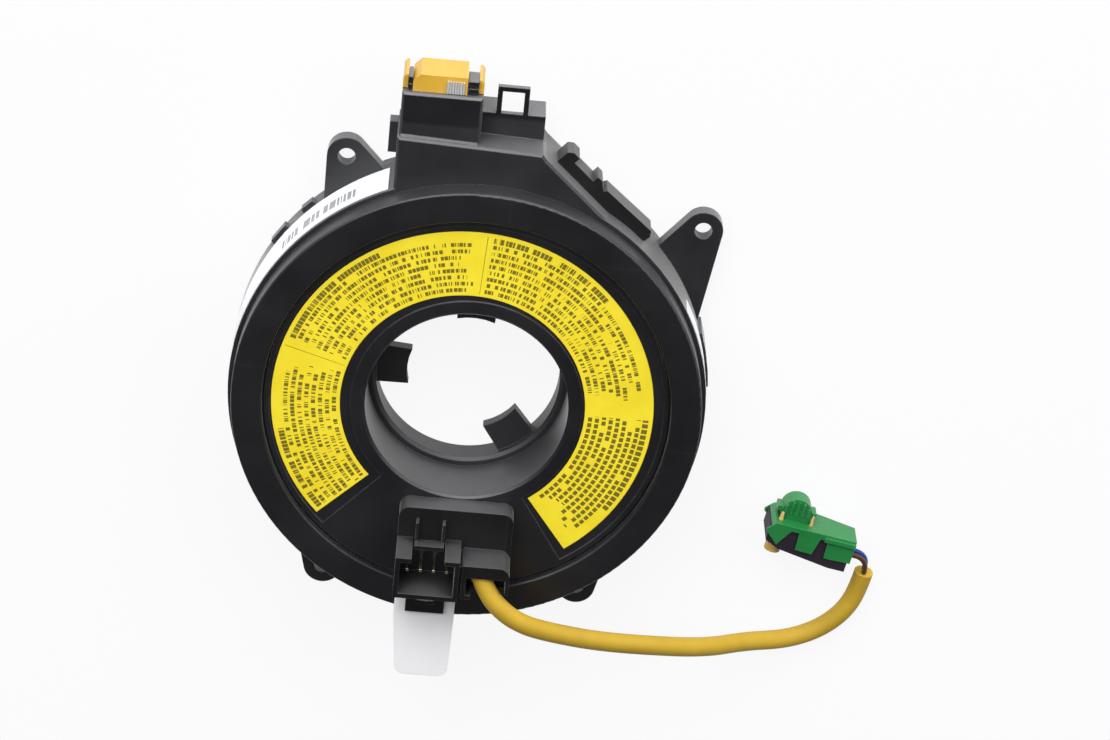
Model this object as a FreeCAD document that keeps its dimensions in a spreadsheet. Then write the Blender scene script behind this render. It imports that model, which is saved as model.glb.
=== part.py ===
import FreeCAD, Part
import math
import os
import re
import Sketcher

# Steering clock spring lying on its back, millimetres.
# Z is the steering axis and points out of the rotor's face, Y points to the stator's connectors,
# and the origin is on the axis in the plane of the back plate.

doc = FreeCAD.newDocument("ClockSpring")
Vec = FreeCAD.Vector
upward = Vec(0, 0, 1)

# Driving sizes
sizes = {
    # Case and covers
    "caseRadius": 53.5, "caseWall": 2.0, "overallHeight": 24.0, "backThick": 2.2, "backRim": 8.0,
    "backCollar": 1.6, "coverStep": 1.0, "coverTall": 5.5, "coverThick": 2.0, "coverWall": 1.5,
    "edgeRound": 0.5,
    # Rotor
    "faceDrop": 1.7, "plateThick": 2.6, "stepDrop": 0.8, "stepWide": 2.5, "faceGap": 0.5, "hubBore": 22.7,
    "hubWall": 2.5, "runningGap": 0.4, "coverOverlap": 3.4,
    # Cancel cam
    "cupWall": 1.4, "cupTall": 5.0, "camWall": 1.85, "camTall": 7.0, "camFlangeThick": 0.8,
    "camFlangeOut": 2.0, "camLow": 0.4, "camBevel": 0.7, "lugDeep": 6.95, "lugHalfAngle": 18.0,
    "lugRootAngle": 12.5, "lugLow": 2.2, "lugTall": 2.8,
    # Face label and its recess
    "recessDepth": 0.3, "recessStartAngle": -56.5, "recessSweepAngle": 283.6, "recessInside": 3.3,
    "recessOutside": 1.1, "labelMargin": 1.35, "labelThick": 0.15, "labelStartAngle": -52.6,
    "labelSweepAngle": 276.7, "labelShift": 0.9,
    # Side labels
    "sideLabelThick": 0.15, "sideLabelGap": 0.1, "sideLabelDrop": 0.9, "shortLabelTall": 6.0,
    # Ears with their screw holes
    "earThick": 3.6, "earHole": 1.95, "earTip": 4.4, "leftEarAngle": 121.4, "leftEarOut": 6.2,
    "rightEarAngle": 39.4, "rightEarOut": 10.2, "lowerEarAngle": 60.5, "lowerEarOut": 6.7,
    # Pads and clip on the case's side
    "padOut": 1.0, "padTall": 2.4, "clipOut": 0.75, "clipGap": 0.6, "sideRibThick": 1.9, "sideRibTall": 3.7,
    # Stator connector block
    "blockLeft": -20.3, "blockRight": 11.6, "blockOut": 8.3, "blockSlope": 1.3, "blockSplit": -2.4,
    "flankTopX": 12.4, "flankTopOut": 5.9, "flankEndAngle": 47.6, "flankSink": 1.1,
    "shroudReach": 10.1, "shroudDrop": 6.7, "shroudWall": 1.4, "shroudBottom": 3.2, "shroudInset": 0.3,
    "cavityStart": 2.5,
    "socketReach": 4.3, "socketDrop": 14.0, "socketBottom": 1.0, "socketDeep": 5.8, "pillarWide": 3.1,
    "loopReach": 6.2, "loopWide": 7.0, "loopBar": 1.1, "loopThick": 1.5,
    # Header in the left shroud
    "headerReach": 3.9, "headerLeft": -17.8, "headerRight": -6.0, "headerWall": 1.3, "headerGap": 0.1,
    "headerRaise": 1.2, "headerBevel": 1.6, "wingThick": 1.1, "wingDrop": 0.7, "bridgeTall": 3.5,
    "headerPitch": 2.2, "socketPitch": 2.6, "clipWide": 4.0, "clipLong": 2.9, "clipSheet": 0.25,
    # Flank terminal cover
    "barDrop": 11.0, "barTall": 6.0, "barDeep": 3.2, "barStart": 3.4, "barMiddle": 16.0, "barEnd": 30.6,
    "barKnob": 0.9, "barKnobWide": 1.8, "barLip": 0.6, "lowerBarDeep": 4.0,
    # Lead block on the rotor
    "leadLeft": -12.9, "leadRight": 12.9, "leadMargin": 0.7, "leadInset": 4.0, "leadBase": 5.5,
    "towerShare": 0.5706, "towerSplit": 1.6, "towerTall": 10.2, "outletTall": 8.6, "outletShare": 0.4802,
    "outletRoof": 0.8, "wellDeep": 6.4, "mouthDeep": 4.6, "towerWall": 1.1, "socketFloorTall": 4.3,
    "pinDrop": 4.1, "cornerRound": 2.4, "pinSide": 0.64, "pinPitch": 2.95,
    # Lock tab and its keeper
    "tabThick": 1.2, "tabWide": 13.8, "tabEndWide": 12.0, "tabCentre": -5.4, "tabLean": 0.45, "tabOut": 14.5,
    "tabShoulderOut": 2.4, "tabStraight": 9.0, "tabTongue": 8.0, "tongueDeep": 4.6, "tabLift": 0.5,
    "tabRound": 2.4, "tabGap": 0.3, "keeperWide": 8.8, "keeperReach": 9.3, "keeperThick": 1.5,
    # Lead
    "sleeveRadius": 2.25, "wireRadius": 0.6,
    # Plug at the end of the lead
    "plugX": 82.2, "plugY": -34.0, "plugAngle": -10.0, "plugLength": 20.5, "plugThick": 10.4, "plugTall": 6.8,
    "plugTaper": 3.6, "shellWall": 0.9, "shellDrop": 3.4, "shellGap": 0.1, "endWall": 0.6,
    "gripRadius": 3.5, "gripRise": 1.9, "gripBack": 5.6, "gripLow": 2.4, "gripTall": 4.4, "gripWing": 1.1,
    "gripGap": 0.3, "gripRib": 0.5, "gripPitch": 1.35, "noseRadius": 1.9, "noseBack": 3.0, "noseReach": 3.0,
    # Flat cable and slip sheets
    "ribbonTurns": 6, "ribbonThick": 0.35, "ribbonInset": 4.0, "sheetThick": 0.25, "sheetGap": 0.4,
}

# Sizes that follow from the driving ones
derived = {
    "wallInside": "caseRadius - caseWall", "coverRadius": "caseRadius - coverStep",
    "coverBottom": "overallHeight - coverTall",
    "plateRadius": "coverRadius - coverWall - coverOverlap", "faceRadius": "plateRadius - stepWide",
    "coverInner": "faceRadius + faceGap", "rotorFace": "overallHeight - faceDrop",
    "plateTop": "rotorFace - stepDrop", "plateBottom": "rotorFace - plateThick",
    "hubOuter": "hubBore + hubWall", "camOuter": "hubOuter + cupWall", "backBore": "camOuter + runningGap",
    "collarOuter": "backBore + backCollar", "camFlange": "backBore + camFlangeOut",
    "camBore": "hubBore - camWall", "cupTop": "camTall + cupTall", "lugReach": "camBore - lugDeep",
    "recessInner": "hubBore + recessInside", "recessOuter": "faceRadius - recessOutside",
    "labelInner": "recessInner + labelMargin", "labelOuter": "recessOuter - labelMargin",
    "earTop": "backThick + earThick", "sideLabelLow": "earTop + sideLabelGap",
    "sideLabelHigh": "coverBottom - sideLabelDrop", "shortLabelLow": "sideLabelHigh - shortLabelTall",
    "leftEarX": "(caseRadius + leftEarOut) * cos(leftEarAngle)",
    "leftEarY": "(caseRadius + leftEarOut) * sin(leftEarAngle)",
    "rightEarX": "(caseRadius + rightEarOut) * cos(rightEarAngle)",
    "rightEarY": "(caseRadius + rightEarOut) * sin(rightEarAngle)",
    "lowerEarX": "(caseRadius + lowerEarOut) * cos(lowerEarAngle)",
    "lowerEarY": "0 - (caseRadius + lowerEarOut) * sin(lowerEarAngle)",
    "blockFront": "caseRadius + blockOut", "flankTopY": "caseRadius + flankTopOut",
    "flankEndX": "(caseRadius - flankSink) * cos(flankEndAngle)",
    "flankEndY": "(caseRadius - flankSink) * sin(flankEndAngle)",
    "flankSpan": "sqrt((flankEndX - flankTopX)^2 + (flankTopY - flankEndY)^2)",
    "shroudFront": "blockFront + shroudReach", "shroudTop": "overallHeight - shroudDrop",
    "shroudLeft": "blockLeft + shroudInset", "socketFront": "blockFront + socketReach",
    "socketTop": "overallHeight - socketDrop", "loopLeft": "blockSplit + pillarWide",
    "loopRight": "loopLeft + loopWide", "loopLow": "socketTop - loopThick",
    "socketBack": "socketFront - socketDeep",
    "headerFront": "shroudFront + headerReach", "headerBack": "blockFront + cavityStart",
    "headerTop": "shroudTop - shroudWall - headerGap", "headerLow": "shroudBottom + shroudWall + headerRaise",
    "headerMiddle": "(headerLeft + headerRight) / 2",
    "barTop": "overallHeight - barDrop", "barLow": "barTop - barTall",
    "leadTop": "rotorFace + leadBase", "leadFront": "0 - (faceRadius - leadInset)",
    "leadBack": "0 - (hubBore + leadMargin)", "leadDeep": "leadBack - leadFront",
    "towerTop": "leadTop + towerTall",
    "towerBack": "leadFront + towerShare * leadDeep", "outletTop": "leadTop + outletTall",
    "outletBack": "leadFront + outletShare * leadDeep", "socketFloor": "rotorFace + socketFloorTall",
    "leadPinFirst": "(leadLeft + towerSplit) / 2 - 1.5 * pinPitch",
    "leadPinLine": "(leadFront + towerBack) / 2",
    "tabLow": "overallHeight + tabLift", "tabShoulder": "leadFront - tabShoulderOut",
    "tabTongueEnd": "leadFront + tongueDeep", "tabEnd": "0 - (caseRadius + tabOut)",
    "tabEndLeft": "tabCentre + tabLean - tabEndWide / 2",
    "tabEndRight": "tabCentre + tabLean + tabEndWide / 2",
    "keeperLow": "tabLow + tabThick + tabGap",
    "plugHalf": "plugLength / 2", "plugTop": "plugTall / 2", "coreLow": "shellGap + shellWall / 2",
    "coreHigh": "plugThick - shellWall / 2", "shellInside": "plugTop - shellWall",
    "gripX": "gripBack - plugHalf", "gripHigh": "gripLow + gripTall", "noseX": "noseBack - plugHalf",
    "ribbonInner": "backBore + ribbonInset", "ribbonOuter": "wallInside - sheetGap",
    "ribbonTop": "coverBottom - sheetGap",
}

sheet = doc.addObject("Spreadsheet::Sheet", "Sizes")
for row, (alias, value) in enumerate(sizes.items(), start=1):
    sheet.set(f"A{row}", alias)
    sheet.set(f"B{row}", str(value))
    sheet.setAlias(f"B{row}", alias)
doc.recompute()


def bound(text):
    """An expression with each size written out as cells of the sheet."""
    def write(word):
        name = word.group()
        if name in derived:
            return "(" + bound(derived[name]) + ")"
        return "Sizes." + name if name in sizes else name

    return re.sub(r"(?<![\w.])[A-Za-z]\w*", write, str(text))


def size(text):
    """The number that an expression comes to."""
    return float(sheet.evalExpression(bound(text)))


def make_body(name):
    body = doc.addObject("PartDesign::Body", name)
    body.Label = name
    return body


def make_sketch(body, name, role="XY_Plane", height="0"):
    sketch = body.newObject("Sketcher::SketchObject", name)
    plane = [f for f in body.Origin.OriginFeatures if f.Role == role][0]
    sketch.AttachmentSupport = [(plane, "")]
    sketch.MapMode = "FlatFace"
    sketch.setExpression("AttachmentOffset.Base.z", bound(height))
    return sketch


def pin_point(sketch, geometry, end, x, y):
    """Hold one point of the sketch at two sizes from the origin."""
    for kind, text in (("DistanceX", x), ("DistanceY", y)):
        index = sketch.addConstraint(Sketcher.Constraint(kind, -1, 1, geometry, end, size(text)))
        sketch.setExpression(f"Constraints[{index}]", bound(text))


def add_outline(sketch, corners):
    """A closed loop of straight lines through corners given as size expressions."""
    places = [Vec(size(x), size(y), 0) for x, y in corners]
    first = sketch.GeometryCount
    count = len(corners)
    for i in range(count):
        sketch.addGeometry(Part.LineSegment(places[i], places[(i + 1) % count]), False)
    for i in range(count):
        sketch.addConstraint(Sketcher.Constraint("Coincident", first + i, 2, first + (i + 1) % count, 1))
    for i, (x, y) in enumerate(corners):
        pin_point(sketch, first + i, 1, x, y)


def add_circle(sketch, x, y, radius):
    index = sketch.addGeometry(Part.Circle(Vec(size(x), size(y), 0), upward, size(radius)), False)
    pin_point(sketch, index, 3, x, y)
    rule = sketch.addConstraint(Sketcher.Constraint("Radius", index, size(radius)))
    sketch.setExpression(f"Constraints[{rule}]", bound(radius))


def add_ear(sketch, x, y, radius, footA, footB):
    """An ear: a round tip about its hole with a straight side to each foot, going anticlockwise from A."""
    cx, cy, r = size(x), size(y), size(radius)
    ends = []
    for foot, side in ((footA, 1), (footB, -1)):
        fx, fy = size(foot[0]), size(foot[1])
        away = math.hypot(fx - cx, fy - cy)
        angle = math.atan2(fy - cy, fx - cx) + side * math.acos(r / away)
        ends.append((Vec(fx, fy, 0), Vec(cx + r * math.cos(angle), cy + r * math.sin(angle), 0), angle))
    first = sketch.GeometryCount
    sketch.addGeometry(Part.LineSegment(ends[0][0], ends[0][1]), False)
    arc = Part.ArcOfCircle(Part.Circle(Vec(cx, cy, 0), upward, r), ends[0][2], ends[1][2])
    sketch.addGeometry(arc, False)
    sketch.addGeometry(Part.LineSegment(ends[1][1], ends[1][0]), False)
    sketch.addGeometry(Part.LineSegment(ends[1][0], ends[0][0]), False)
    sketch.addConstraint(Sketcher.Constraint("Tangent", first, 2, first + 1, 1))
    sketch.addConstraint(Sketcher.Constraint("Tangent", first + 1, 2, first + 2, 1))
    sketch.addConstraint(Sketcher.Constraint("Coincident", first + 2, 2, first + 3, 1))
    sketch.addConstraint(Sketcher.Constraint("Coincident", first + 3, 2, first, 1))
    rule = sketch.addConstraint(Sketcher.Constraint("Radius", first + 1, r))
    sketch.setExpression(f"Constraints[{rule}]", bound(radius))
    pin_point(sketch, first + 1, 3, x, y)
    pin_point(sketch, first, 1, *footA)
    pin_point(sketch, first + 2, 2, *footB)


def add_tongue(sketch, x, low, y, radius):
    """A tongue that stands on a base and ends in a half circle about a centre."""
    cx, base, cy, r = size(x), size(low), size(y), size(radius)
    first = sketch.GeometryCount
    corners = [Vec(cx - r, base, 0), Vec(cx + r, base, 0), Vec(cx + r, cy, 0), Vec(cx - r, cy, 0)]
    sketch.addGeometry(Part.LineSegment(corners[0], corners[1]), False)
    sketch.addGeometry(Part.LineSegment(corners[1], corners[2]), False)
    sketch.addGeometry(Part.ArcOfCircle(Part.Circle(Vec(cx, cy, 0), upward, r), 0, math.pi), False)
    sketch.addGeometry(Part.LineSegment(corners[3], corners[0]), False)
    sketch.addConstraint(Sketcher.Constraint("Coincident", first, 2, first + 1, 1))
    sketch.addConstraint(Sketcher.Constraint("Tangent", first + 1, 2, first + 2, 1))
    sketch.addConstraint(Sketcher.Constraint("Tangent", first + 2, 2, first + 3, 1))
    sketch.addConstraint(Sketcher.Constraint("Coincident", first + 3, 2, first, 1))
    sketch.addConstraint(Sketcher.Constraint("Vertical", first + 1))
    rule = sketch.addConstraint(Sketcher.Constraint("Radius", first + 2, r))
    sketch.setExpression(f"Constraints[{rule}]", bound(radius))
    pin_point(sketch, first + 2, 3, x, y)
    pin_point(sketch, first, 1, f"({x}) - ({radius})", low)
    sketch.addConstraint(Sketcher.Constraint("Horizontal", first))


def add_pad(body, sketch, length, kind="Pad", reverse=False):
    feature = body.newObject("PartDesign::" + kind, sketch.Name + kind)
    feature.Profile = sketch
    feature.setExpression("Length", bound(length))
    feature.Reversed = reverse
    sketch.Visibility = False
    doc.recompute()
    return feature


def add_turn(body, name, profile):
    """A ring turned about the steering axis from a profile of radius and height."""
    sketch = make_sketch(body, name, "XZ_Plane")
    add_outline(sketch, profile)
    turned = body.newObject("PartDesign::Revolution", name + "Turn")
    turned.Profile = sketch
    turned.ReferenceAxis = (sketch, ["V_Axis"])
    turned.Angle = 360
    doc.recompute()
    return turned


def add_box(body, name, low, high, cut=False):
    """A block between two corners, added to the body or cut from it."""
    box = body.newObject("PartDesign::SubtractiveBox" if cut else "PartDesign::AdditiveBox", name)
    for axis, side, a, b in zip("xyz", ("Length", "Width", "Height"), low, high):
        box.setExpression(f"Placement.Base.{axis}", bound(a))
        box.setExpression(side, bound(f"({b}) - ({a})"))
    doc.recompute()
    return box


def add_drum(body, name, centre, radius, height, cut=False):
    drum = body.newObject("PartDesign::SubtractiveCylinder" if cut else "PartDesign::AdditiveCylinder", name)
    for axis, place in zip("xyz", centre):
        drum.setExpression(f"Placement.Base.{axis}", bound(place))
    drum.setExpression("Radius", bound(radius))
    drum.setExpression("Height", bound(height))
    doc.recompute()
    return drum


def round_edges(body, radius, test, kind="Fillet"):
    """Round or bevel the edges of the body's last shape that pass the test."""
    tip = body.Tip
    names = [f"Edge{i}" for i, edge in enumerate(tip.Shape.Edges, start=1) if test(edge)]
    if not names:
        raise RuntimeError(f"{body.Label}: no edge to finish")
    feature = body.newObject("PartDesign::" + kind, f"{body.Name}{kind}{len(body.Group)}")
    feature.Base = (tip, names)
    feature.setExpression("Radius" if kind == "Fillet" else "Size", bound(radius))
    doc.recompute()
    return feature


def is_upright(edge, x, y, reach=0.05):
    """Whether an edge stands upright at the given place in plan."""
    box = edge.BoundBox
    return (box.XLength < 0.01 and box.YLength < 0.01 and box.ZLength > 0.3
            and abs(box.XMin - size(x)) < reach and abs(box.YMin - size(y)) < reach)


def is_level(edge, height):
    """Whether an edge is straight and lies level at the given height."""
    box = edge.BoundBox
    return (isinstance(edge.Curve, (Part.Line, Part.LineSegment)) and box.ZLength < 0.01
            and abs(box.ZMin - size(height)) < 0.01)


def is_ring(edge, radius, height):
    """Whether an edge is a circle about the steering axis."""
    curve = edge.Curve
    return (isinstance(curve, Part.Circle) and abs(curve.Radius - size(radius)) < 0.01
            and abs(curve.Center.z - size(height)) < 0.01
            and math.hypot(curve.Center.x, curve.Center.y) < 0.01)


def make_sector(name, inner, outer, low, thick, start, sweep, shift="0"):
    """A thin curved patch: part of a ring between two radii, from an angle through a sweep."""
    drums = []
    for part, radius, spare in (("Outer", outer, "0"), ("Inner", inner, "1")):
        drum = doc.addObject("Part::Cylinder", name + part)
        drum.setExpression("Radius", bound(radius))
        drum.setExpression("Height", bound(f"({thick}) + 2 * {spare}"))
        drum.setExpression("Placement.Base.z", bound(f"({low}) - {spare}"))
        drum.Angle = 360
        drums.append(drum)
    drums[0].setExpression("Angle", bound(sweep))
    drums[0].Placement.Rotation = FreeCAD.Rotation(upward, size(start))
    for drum in drums:
        drum.setExpression("Placement.Base.x", bound(f"-({shift})"))
    patch = doc.addObject("Part::Cut", name)
    patch.Base, patch.Tool = drums
    patch.Label = name
    return patch


def make_rear_plate():
    """The back of the case, with a rim that guides the rotor."""
    body = make_body("rear_plate")
    add_turn(body, "BackProfile", [
        ("camFlange + runningGap", "0"), ("caseRadius", "0"), ("caseRadius", "backThick"),
        ("backBore + backCollar", "backThick"), ("backBore + backCollar", "backRim"),
        ("backBore", "backRim"), ("backBore", "backThick - camFlangeThick"),
        ("camFlange + runningGap", "backThick - camFlangeThick")])
    return body


def make_front_cover():
    """The ring that closes the front of the case round the rotor's face."""
    body = make_body("front_cover")
    add_turn(body, "CoverProfile", [
        ("coverInner", "overallHeight - coverThick"),
        ("coverRadius - coverWall", "overallHeight - coverThick"),
        ("coverRadius - coverWall", "coverBottom"), ("coverRadius", "coverBottom"),
        ("coverRadius", "overallHeight"), ("coverInner", "overallHeight")])
    round_edges(body, "edgeRound", lambda e: is_ring(e, "coverRadius", "overallHeight")
                or is_ring(e, "coverInner", "overallHeight"))
    return body


def on_case(angle, out="0"):
    """A place beside the case's outside, at an angle and so far out."""
    return f"(caseRadius + {out}) * cos({angle})", f"(caseRadius + {out}) * sin({angle})"


def make_housing():
    """The case wall, with ears, connector shrouds and rim pads in the same moulding."""
    body = make_body("stator_housing")
    add_turn(body, "WallProfile", [
        ("wallInside", "backThick"), ("caseRadius", "backThick"),
        ("caseRadius", "coverBottom"), ("wallInside", "coverBottom")])

    # Each ear has a foot on either side, at an angle and so far below the case's outside
    ears = make_sketch(body, "Ears", height="backThick")
    places = [
        ("leftEarX", "leftEarY", on_case("112.6", "-5.8"), on_case("133", "-1.5")),
        ("rightEarX", "rightEarY", on_case("16.8", "-1.5"), on_case("41.6", "-3.8")),
        ("lowerEarX", "lowerEarY", on_case("-66.1", "-3"), on_case("-41.4", "-2.1")),
        ("0 - lowerEarX", "lowerEarY", on_case("-138.6", "-2.1"), on_case("-113.9", "-3"))]
    for x, y, footA, footB in places:
        add_ear(ears, x, y, "earTip", footA, footB)
    add_pad(body, ears, "earThick")

    block = make_sketch(body, "Block", height="backThick")
    add_outline(block, [
        ("blockLeft", "flankEndY"), ("flankEndX", "flankEndY"), ("flankTopX", "flankTopY"),
        ("blockRight", "blockFront - blockSlope"), ("blockLeft", "blockFront")])
    add_pad(body, block, "coverBottom - backThick")
    round_edges(body, "edgeRound",
                lambda e: is_level(e, "coverBottom") and e.BoundBox.YMax > size("flankEndY + 9"), "Chamfer")

    # Left shroud holds the header, right shroud is the plain socket with its latch loop
    add_box(body, "Shroud", ("shroudLeft", "blockFront - caseWall", "shroudBottom"),
            ("blockSplit", "shroudFront", "shroudTop"))
    round_edges(body, "edgeRound", lambda e: is_level(e, "shroudTop"), "Chamfer")
    add_box(body, "Socket", ("blockSplit - edgeRound", "blockFront - 3", "socketBottom"),
            ("blockRight", "socketFront", "socketTop"))
    add_box(body, "SideRib", ("blockLeft - sideRibThick", "caseRadius + padOut", "earTop"),
            ("blockLeft + edgeRound", "blockFront", "earTop + sideRibTall"))
    add_box(body, "Loop", ("loopLeft", "socketFront - loopBar", "loopLow"),
            ("loopRight", "socketFront + loopReach", "socketTop"))
    add_box(body, "LoopWindow", ("loopLeft + loopBar", "socketFront", "loopLow - 1"),
            ("loopRight - loopBar", "socketFront + loopReach - loopBar", "socketTop + 1"), cut=True)

    # Rim pads of the back's snaps, and the clip on the right side
    for name, middle, half in (("PadA", "136", "2.3"), ("PadB", "146", "3.2")):
        pad = make_sketch(body, name, height="backThick")
        add_outline(pad, [
            on_case(f"({middle} - {half})", "-padOut"), on_case(f"({middle} - {half} + 0.6)", "padOut"),
            on_case(f"({middle} + {half} - 0.6)", "padOut"), on_case(f"({middle} + {half})", "-padOut")])
        add_pad(body, pad, "padTall")
    clip = make_sketch(body, "SideClip", height="backThick")
    add_outline(clip, [on_case("4", "-padOut"), on_case("5", "clipOut"), on_case("9", "clipOut"),
                       on_case("14", "clipOut"), on_case("19", "clipOut"), on_case("20", "-padOut")])
    add_pad(body, clip, "shortLabelLow - clipGap - backThick")

    # Openings
    inside = make_sketch(body, "Inside", height="backThick - 1")
    add_circle(inside, "0", "0", "wallInside")
    add_pad(body, inside, "coverBottom", "Pocket", reverse=True)
    holes = make_sketch(body, "EarHoles", height="backThick - 1")
    for x, y, *feet in places:
        add_circle(holes, x, y, "earHole")
    add_pad(body, holes, "earThick + 2", "Pocket", reverse=True)
    add_box(body, "HeaderCavity", ("shroudLeft + shroudWall", "headerBack", "shroudBottom + shroudWall"),
            ("blockSplit - shroudWall", "shroudFront + 1", "shroudTop - shroudWall"), cut=True)
    add_box(body, "SocketCavity", ("loopLeft + 0.2", "socketBack", "socketBottom - 1"),
            ("loopRight - 0.2", "socketFront + 1", "loopLow"), cut=True)
    return body


def make_header():
    """The coloured header in the left shroud: a closed cap with a wing on each side."""
    body = make_body("header_shell")
    add_box(body, "Core", ("headerLeft", "headerBack", "headerLow"),
            ("headerRight", "headerFront", "headerTop"))
    round_edges(body, "headerBevel", lambda e: is_upright(e, "headerLeft", "headerFront"), "Chamfer")
    for name, out, near, core in (("Left", "shroudLeft", "(shroudLeft + wingThick)", "headerLeft"),
                                  ("Right", "blockSplit", "(blockSplit - wingThick)", "headerRight")):
        wing = make_sketch(body, name + "Wing", height="headerLow - edgeRound")
        add_outline(wing, [
            (near, "shroudFront + headerGap"), (near, "headerFront - wingDrop"),
            (f"({out} + {near}) / 2", "headerFront - wingDrop"), (out, "headerFront - 2 * wingDrop"),
            (out, "shroudFront + headerGap")])
        add_pad(body, wing, "headerTop - headerLow - headerRaise + edgeRound")
        bridge = make_sketch(body, name + "Bridge", height="headerLow")
        add_outline(bridge, [
            (near, "shroudFront + headerGap"), (core, "shroudFront + headerGap"),
            (core, "shroudFront + headerGap + wingThick"), (near, "shroudFront + headerGap + wingThick")])
        add_pad(body, bridge, "bridgeTall")
    add_box(body, "Hollow", ("headerLeft + headerWall", "headerBack - 1", "headerLow + headerWall"),
            ("headerRight - headerWall", "headerFront - headerWall", "headerTop - headerWall"), cut=True)
    return body


def make_block(name, low, high):
    """A plain block between two corners."""
    block = doc.addObject("Part::Box", name)
    for axis, side, a, b in zip("xyz", ("Length", "Width", "Height"), low, high):
        block.setExpression(f"Placement.Base.{axis}", bound(a))
        block.setExpression(side, bound(f"({b}) - ({a})"))
    return block


def make_group(name, pieces):
    """Like pieces that share one node, each its own solid."""
    group = doc.addObject("Part::Compound", name)
    group.Links = pieces
    group.Label = name
    return group


def make_pin_row(name, first, pitch, count, low, high):
    """A row of square pins, from a low to a high end in depth, at one height."""
    height = "((headerLow + headerTop) / 2)" if name == "HeaderPin" else "((socketBottom + loopLow) / 2)"
    pins = []
    for i in range(count):
        x = f"({first} + {i} * {pitch})"
        pins.append(make_block(f"{name}{i}", (f"{x} - pinSide / 2", low, f"{height} - pinSide / 2"),
                               (f"{x} + pinSide / 2", high, f"{height} + pinSide / 2")))
    return pins


def make_header_pins():
    return make_group("header_pins", make_pin_row("HeaderPin", "(headerMiddle - 1.5 * headerPitch)",
                                                  "headerPitch", 4, "headerBack", "shroudFront - 1"))


def make_header_rails():
    """A notched latch arm on each side of the header, between its core and its wing."""
    rails = []
    for name, left, right in (("Left", "shroudLeft + wingThick + headerGap", "headerLeft - headerGap"),
                              ("Right", "headerRight + headerGap", "blockSplit - wingThick - headerGap")):
        top = "(headerTop - headerGap)"
        arm = make_block(name + "Arm", (left, "shroudFront", "headerLow + bridgeTall + 3 * headerGap"),
                         (right, "headerFront - wingDrop - headerGap", top))
        notch = make_block(name + "Notch",
                           (f"({left}) - 1", "shroudFront + clipLong / 2", f"{top} - headerWall"),
                           (f"({right}) + 1", "shroudFront + clipLong / 2 + edgeRound", f"{top} + 1"))
        rail = doc.addObject("Part::Cut", name + "Rail")
        rail.Base, rail.Tool = arm, notch
        rails.append(rail)
    return make_group("header_rails", rails)


def make_shorting_clip():
    """A ribbed spring clip lying on the header's front face."""
    body = make_body("shorting_clip")
    left, count = "(headerRight - edgeRound - clipWide)", 7
    add_box(body, "Strip", (left, "shroudFront + headerGap", "headerTop"),
            ("headerRight - edgeRound", "shroudFront + clipLong - edgeRound", "headerTop + clipSheet"))
    for i in range(count):
        near, far = [f"{left} + ({i} + {share}) * clipWide / {count}" for share in (0.2, 0.8)]
        add_box(body, f"Rib{i}", (near, "shroudFront + headerGap", "headerTop"),
                (far, "shroudFront + clipLong", "headerTop + 2 * clipSheet"))
    return body


def make_socket_pins():
    return make_group("socket_pins", make_pin_row("SocketPin", "((loopLeft + loopRight - socketPitch) / 2)",
                                                  "socketPitch", 2, "socketBack", "socketBack + cavityStart"))


def make_flank_cover():
    """The two-step cover over the terminals along the slanted flank."""
    body = make_body("flank_cover")
    alongX, alongY = "((flankEndX - flankTopX) / flankSpan)", "((flankEndY - flankTopY) / flankSpan)"

    def place(along, out):
        return (f"flankTopX + ({along}) * {alongX} - ({out}) * {alongY}",
                f"flankTopY + ({along}) * {alongY} + ({out}) * {alongX}")

    upper = make_sketch(body, "UpperBar", height="barLow")
    knob, lip = "barDeep + barKnob", "barDeep - barLip"
    add_outline(upper, [place(along, out) for along, out in (
        ("barStart", "0"), ("barMiddle", "0"), ("barMiddle", "barDeep - barKnob"),
        ("barMiddle - 1.3 * barKnobWide", knob), ("barMiddle - 2.1 * barKnobWide", knob),
        ("barMiddle - 2.1 * barKnobWide", lip), ("barStart + 1.6 * barKnobWide", lip),
        ("barStart + 1.6 * barKnobWide", knob), ("barStart + 0.6 * barKnobWide", knob),
        ("barStart", "barDeep"))])
    add_pad(body, upper, "barTall")
    lower = make_sketch(body, "LowerBar", height="barLow")
    add_outline(lower, [place(along, out) for along, out in (
        ("barMiddle - barLip", "0"), ("barEnd - barKnobWide", "0"), ("barEnd - 0.2", "0.3 * lowerBarDeep"),
        ("barEnd", "0.7 * lowerBarDeep"), ("barEnd - barKnobWide / 2", "lowerBarDeep"),
        ("barMiddle", "lowerBarDeep - barLip"), ("barMiddle - barLip", "barDeep - barKnob"))])
    add_pad(body, lower, "barTall")
    add_drum(body, "CaseClearance", ("0", "0", "0"), "caseRadius", "overallHeight", cut=True)
    return body


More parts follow.
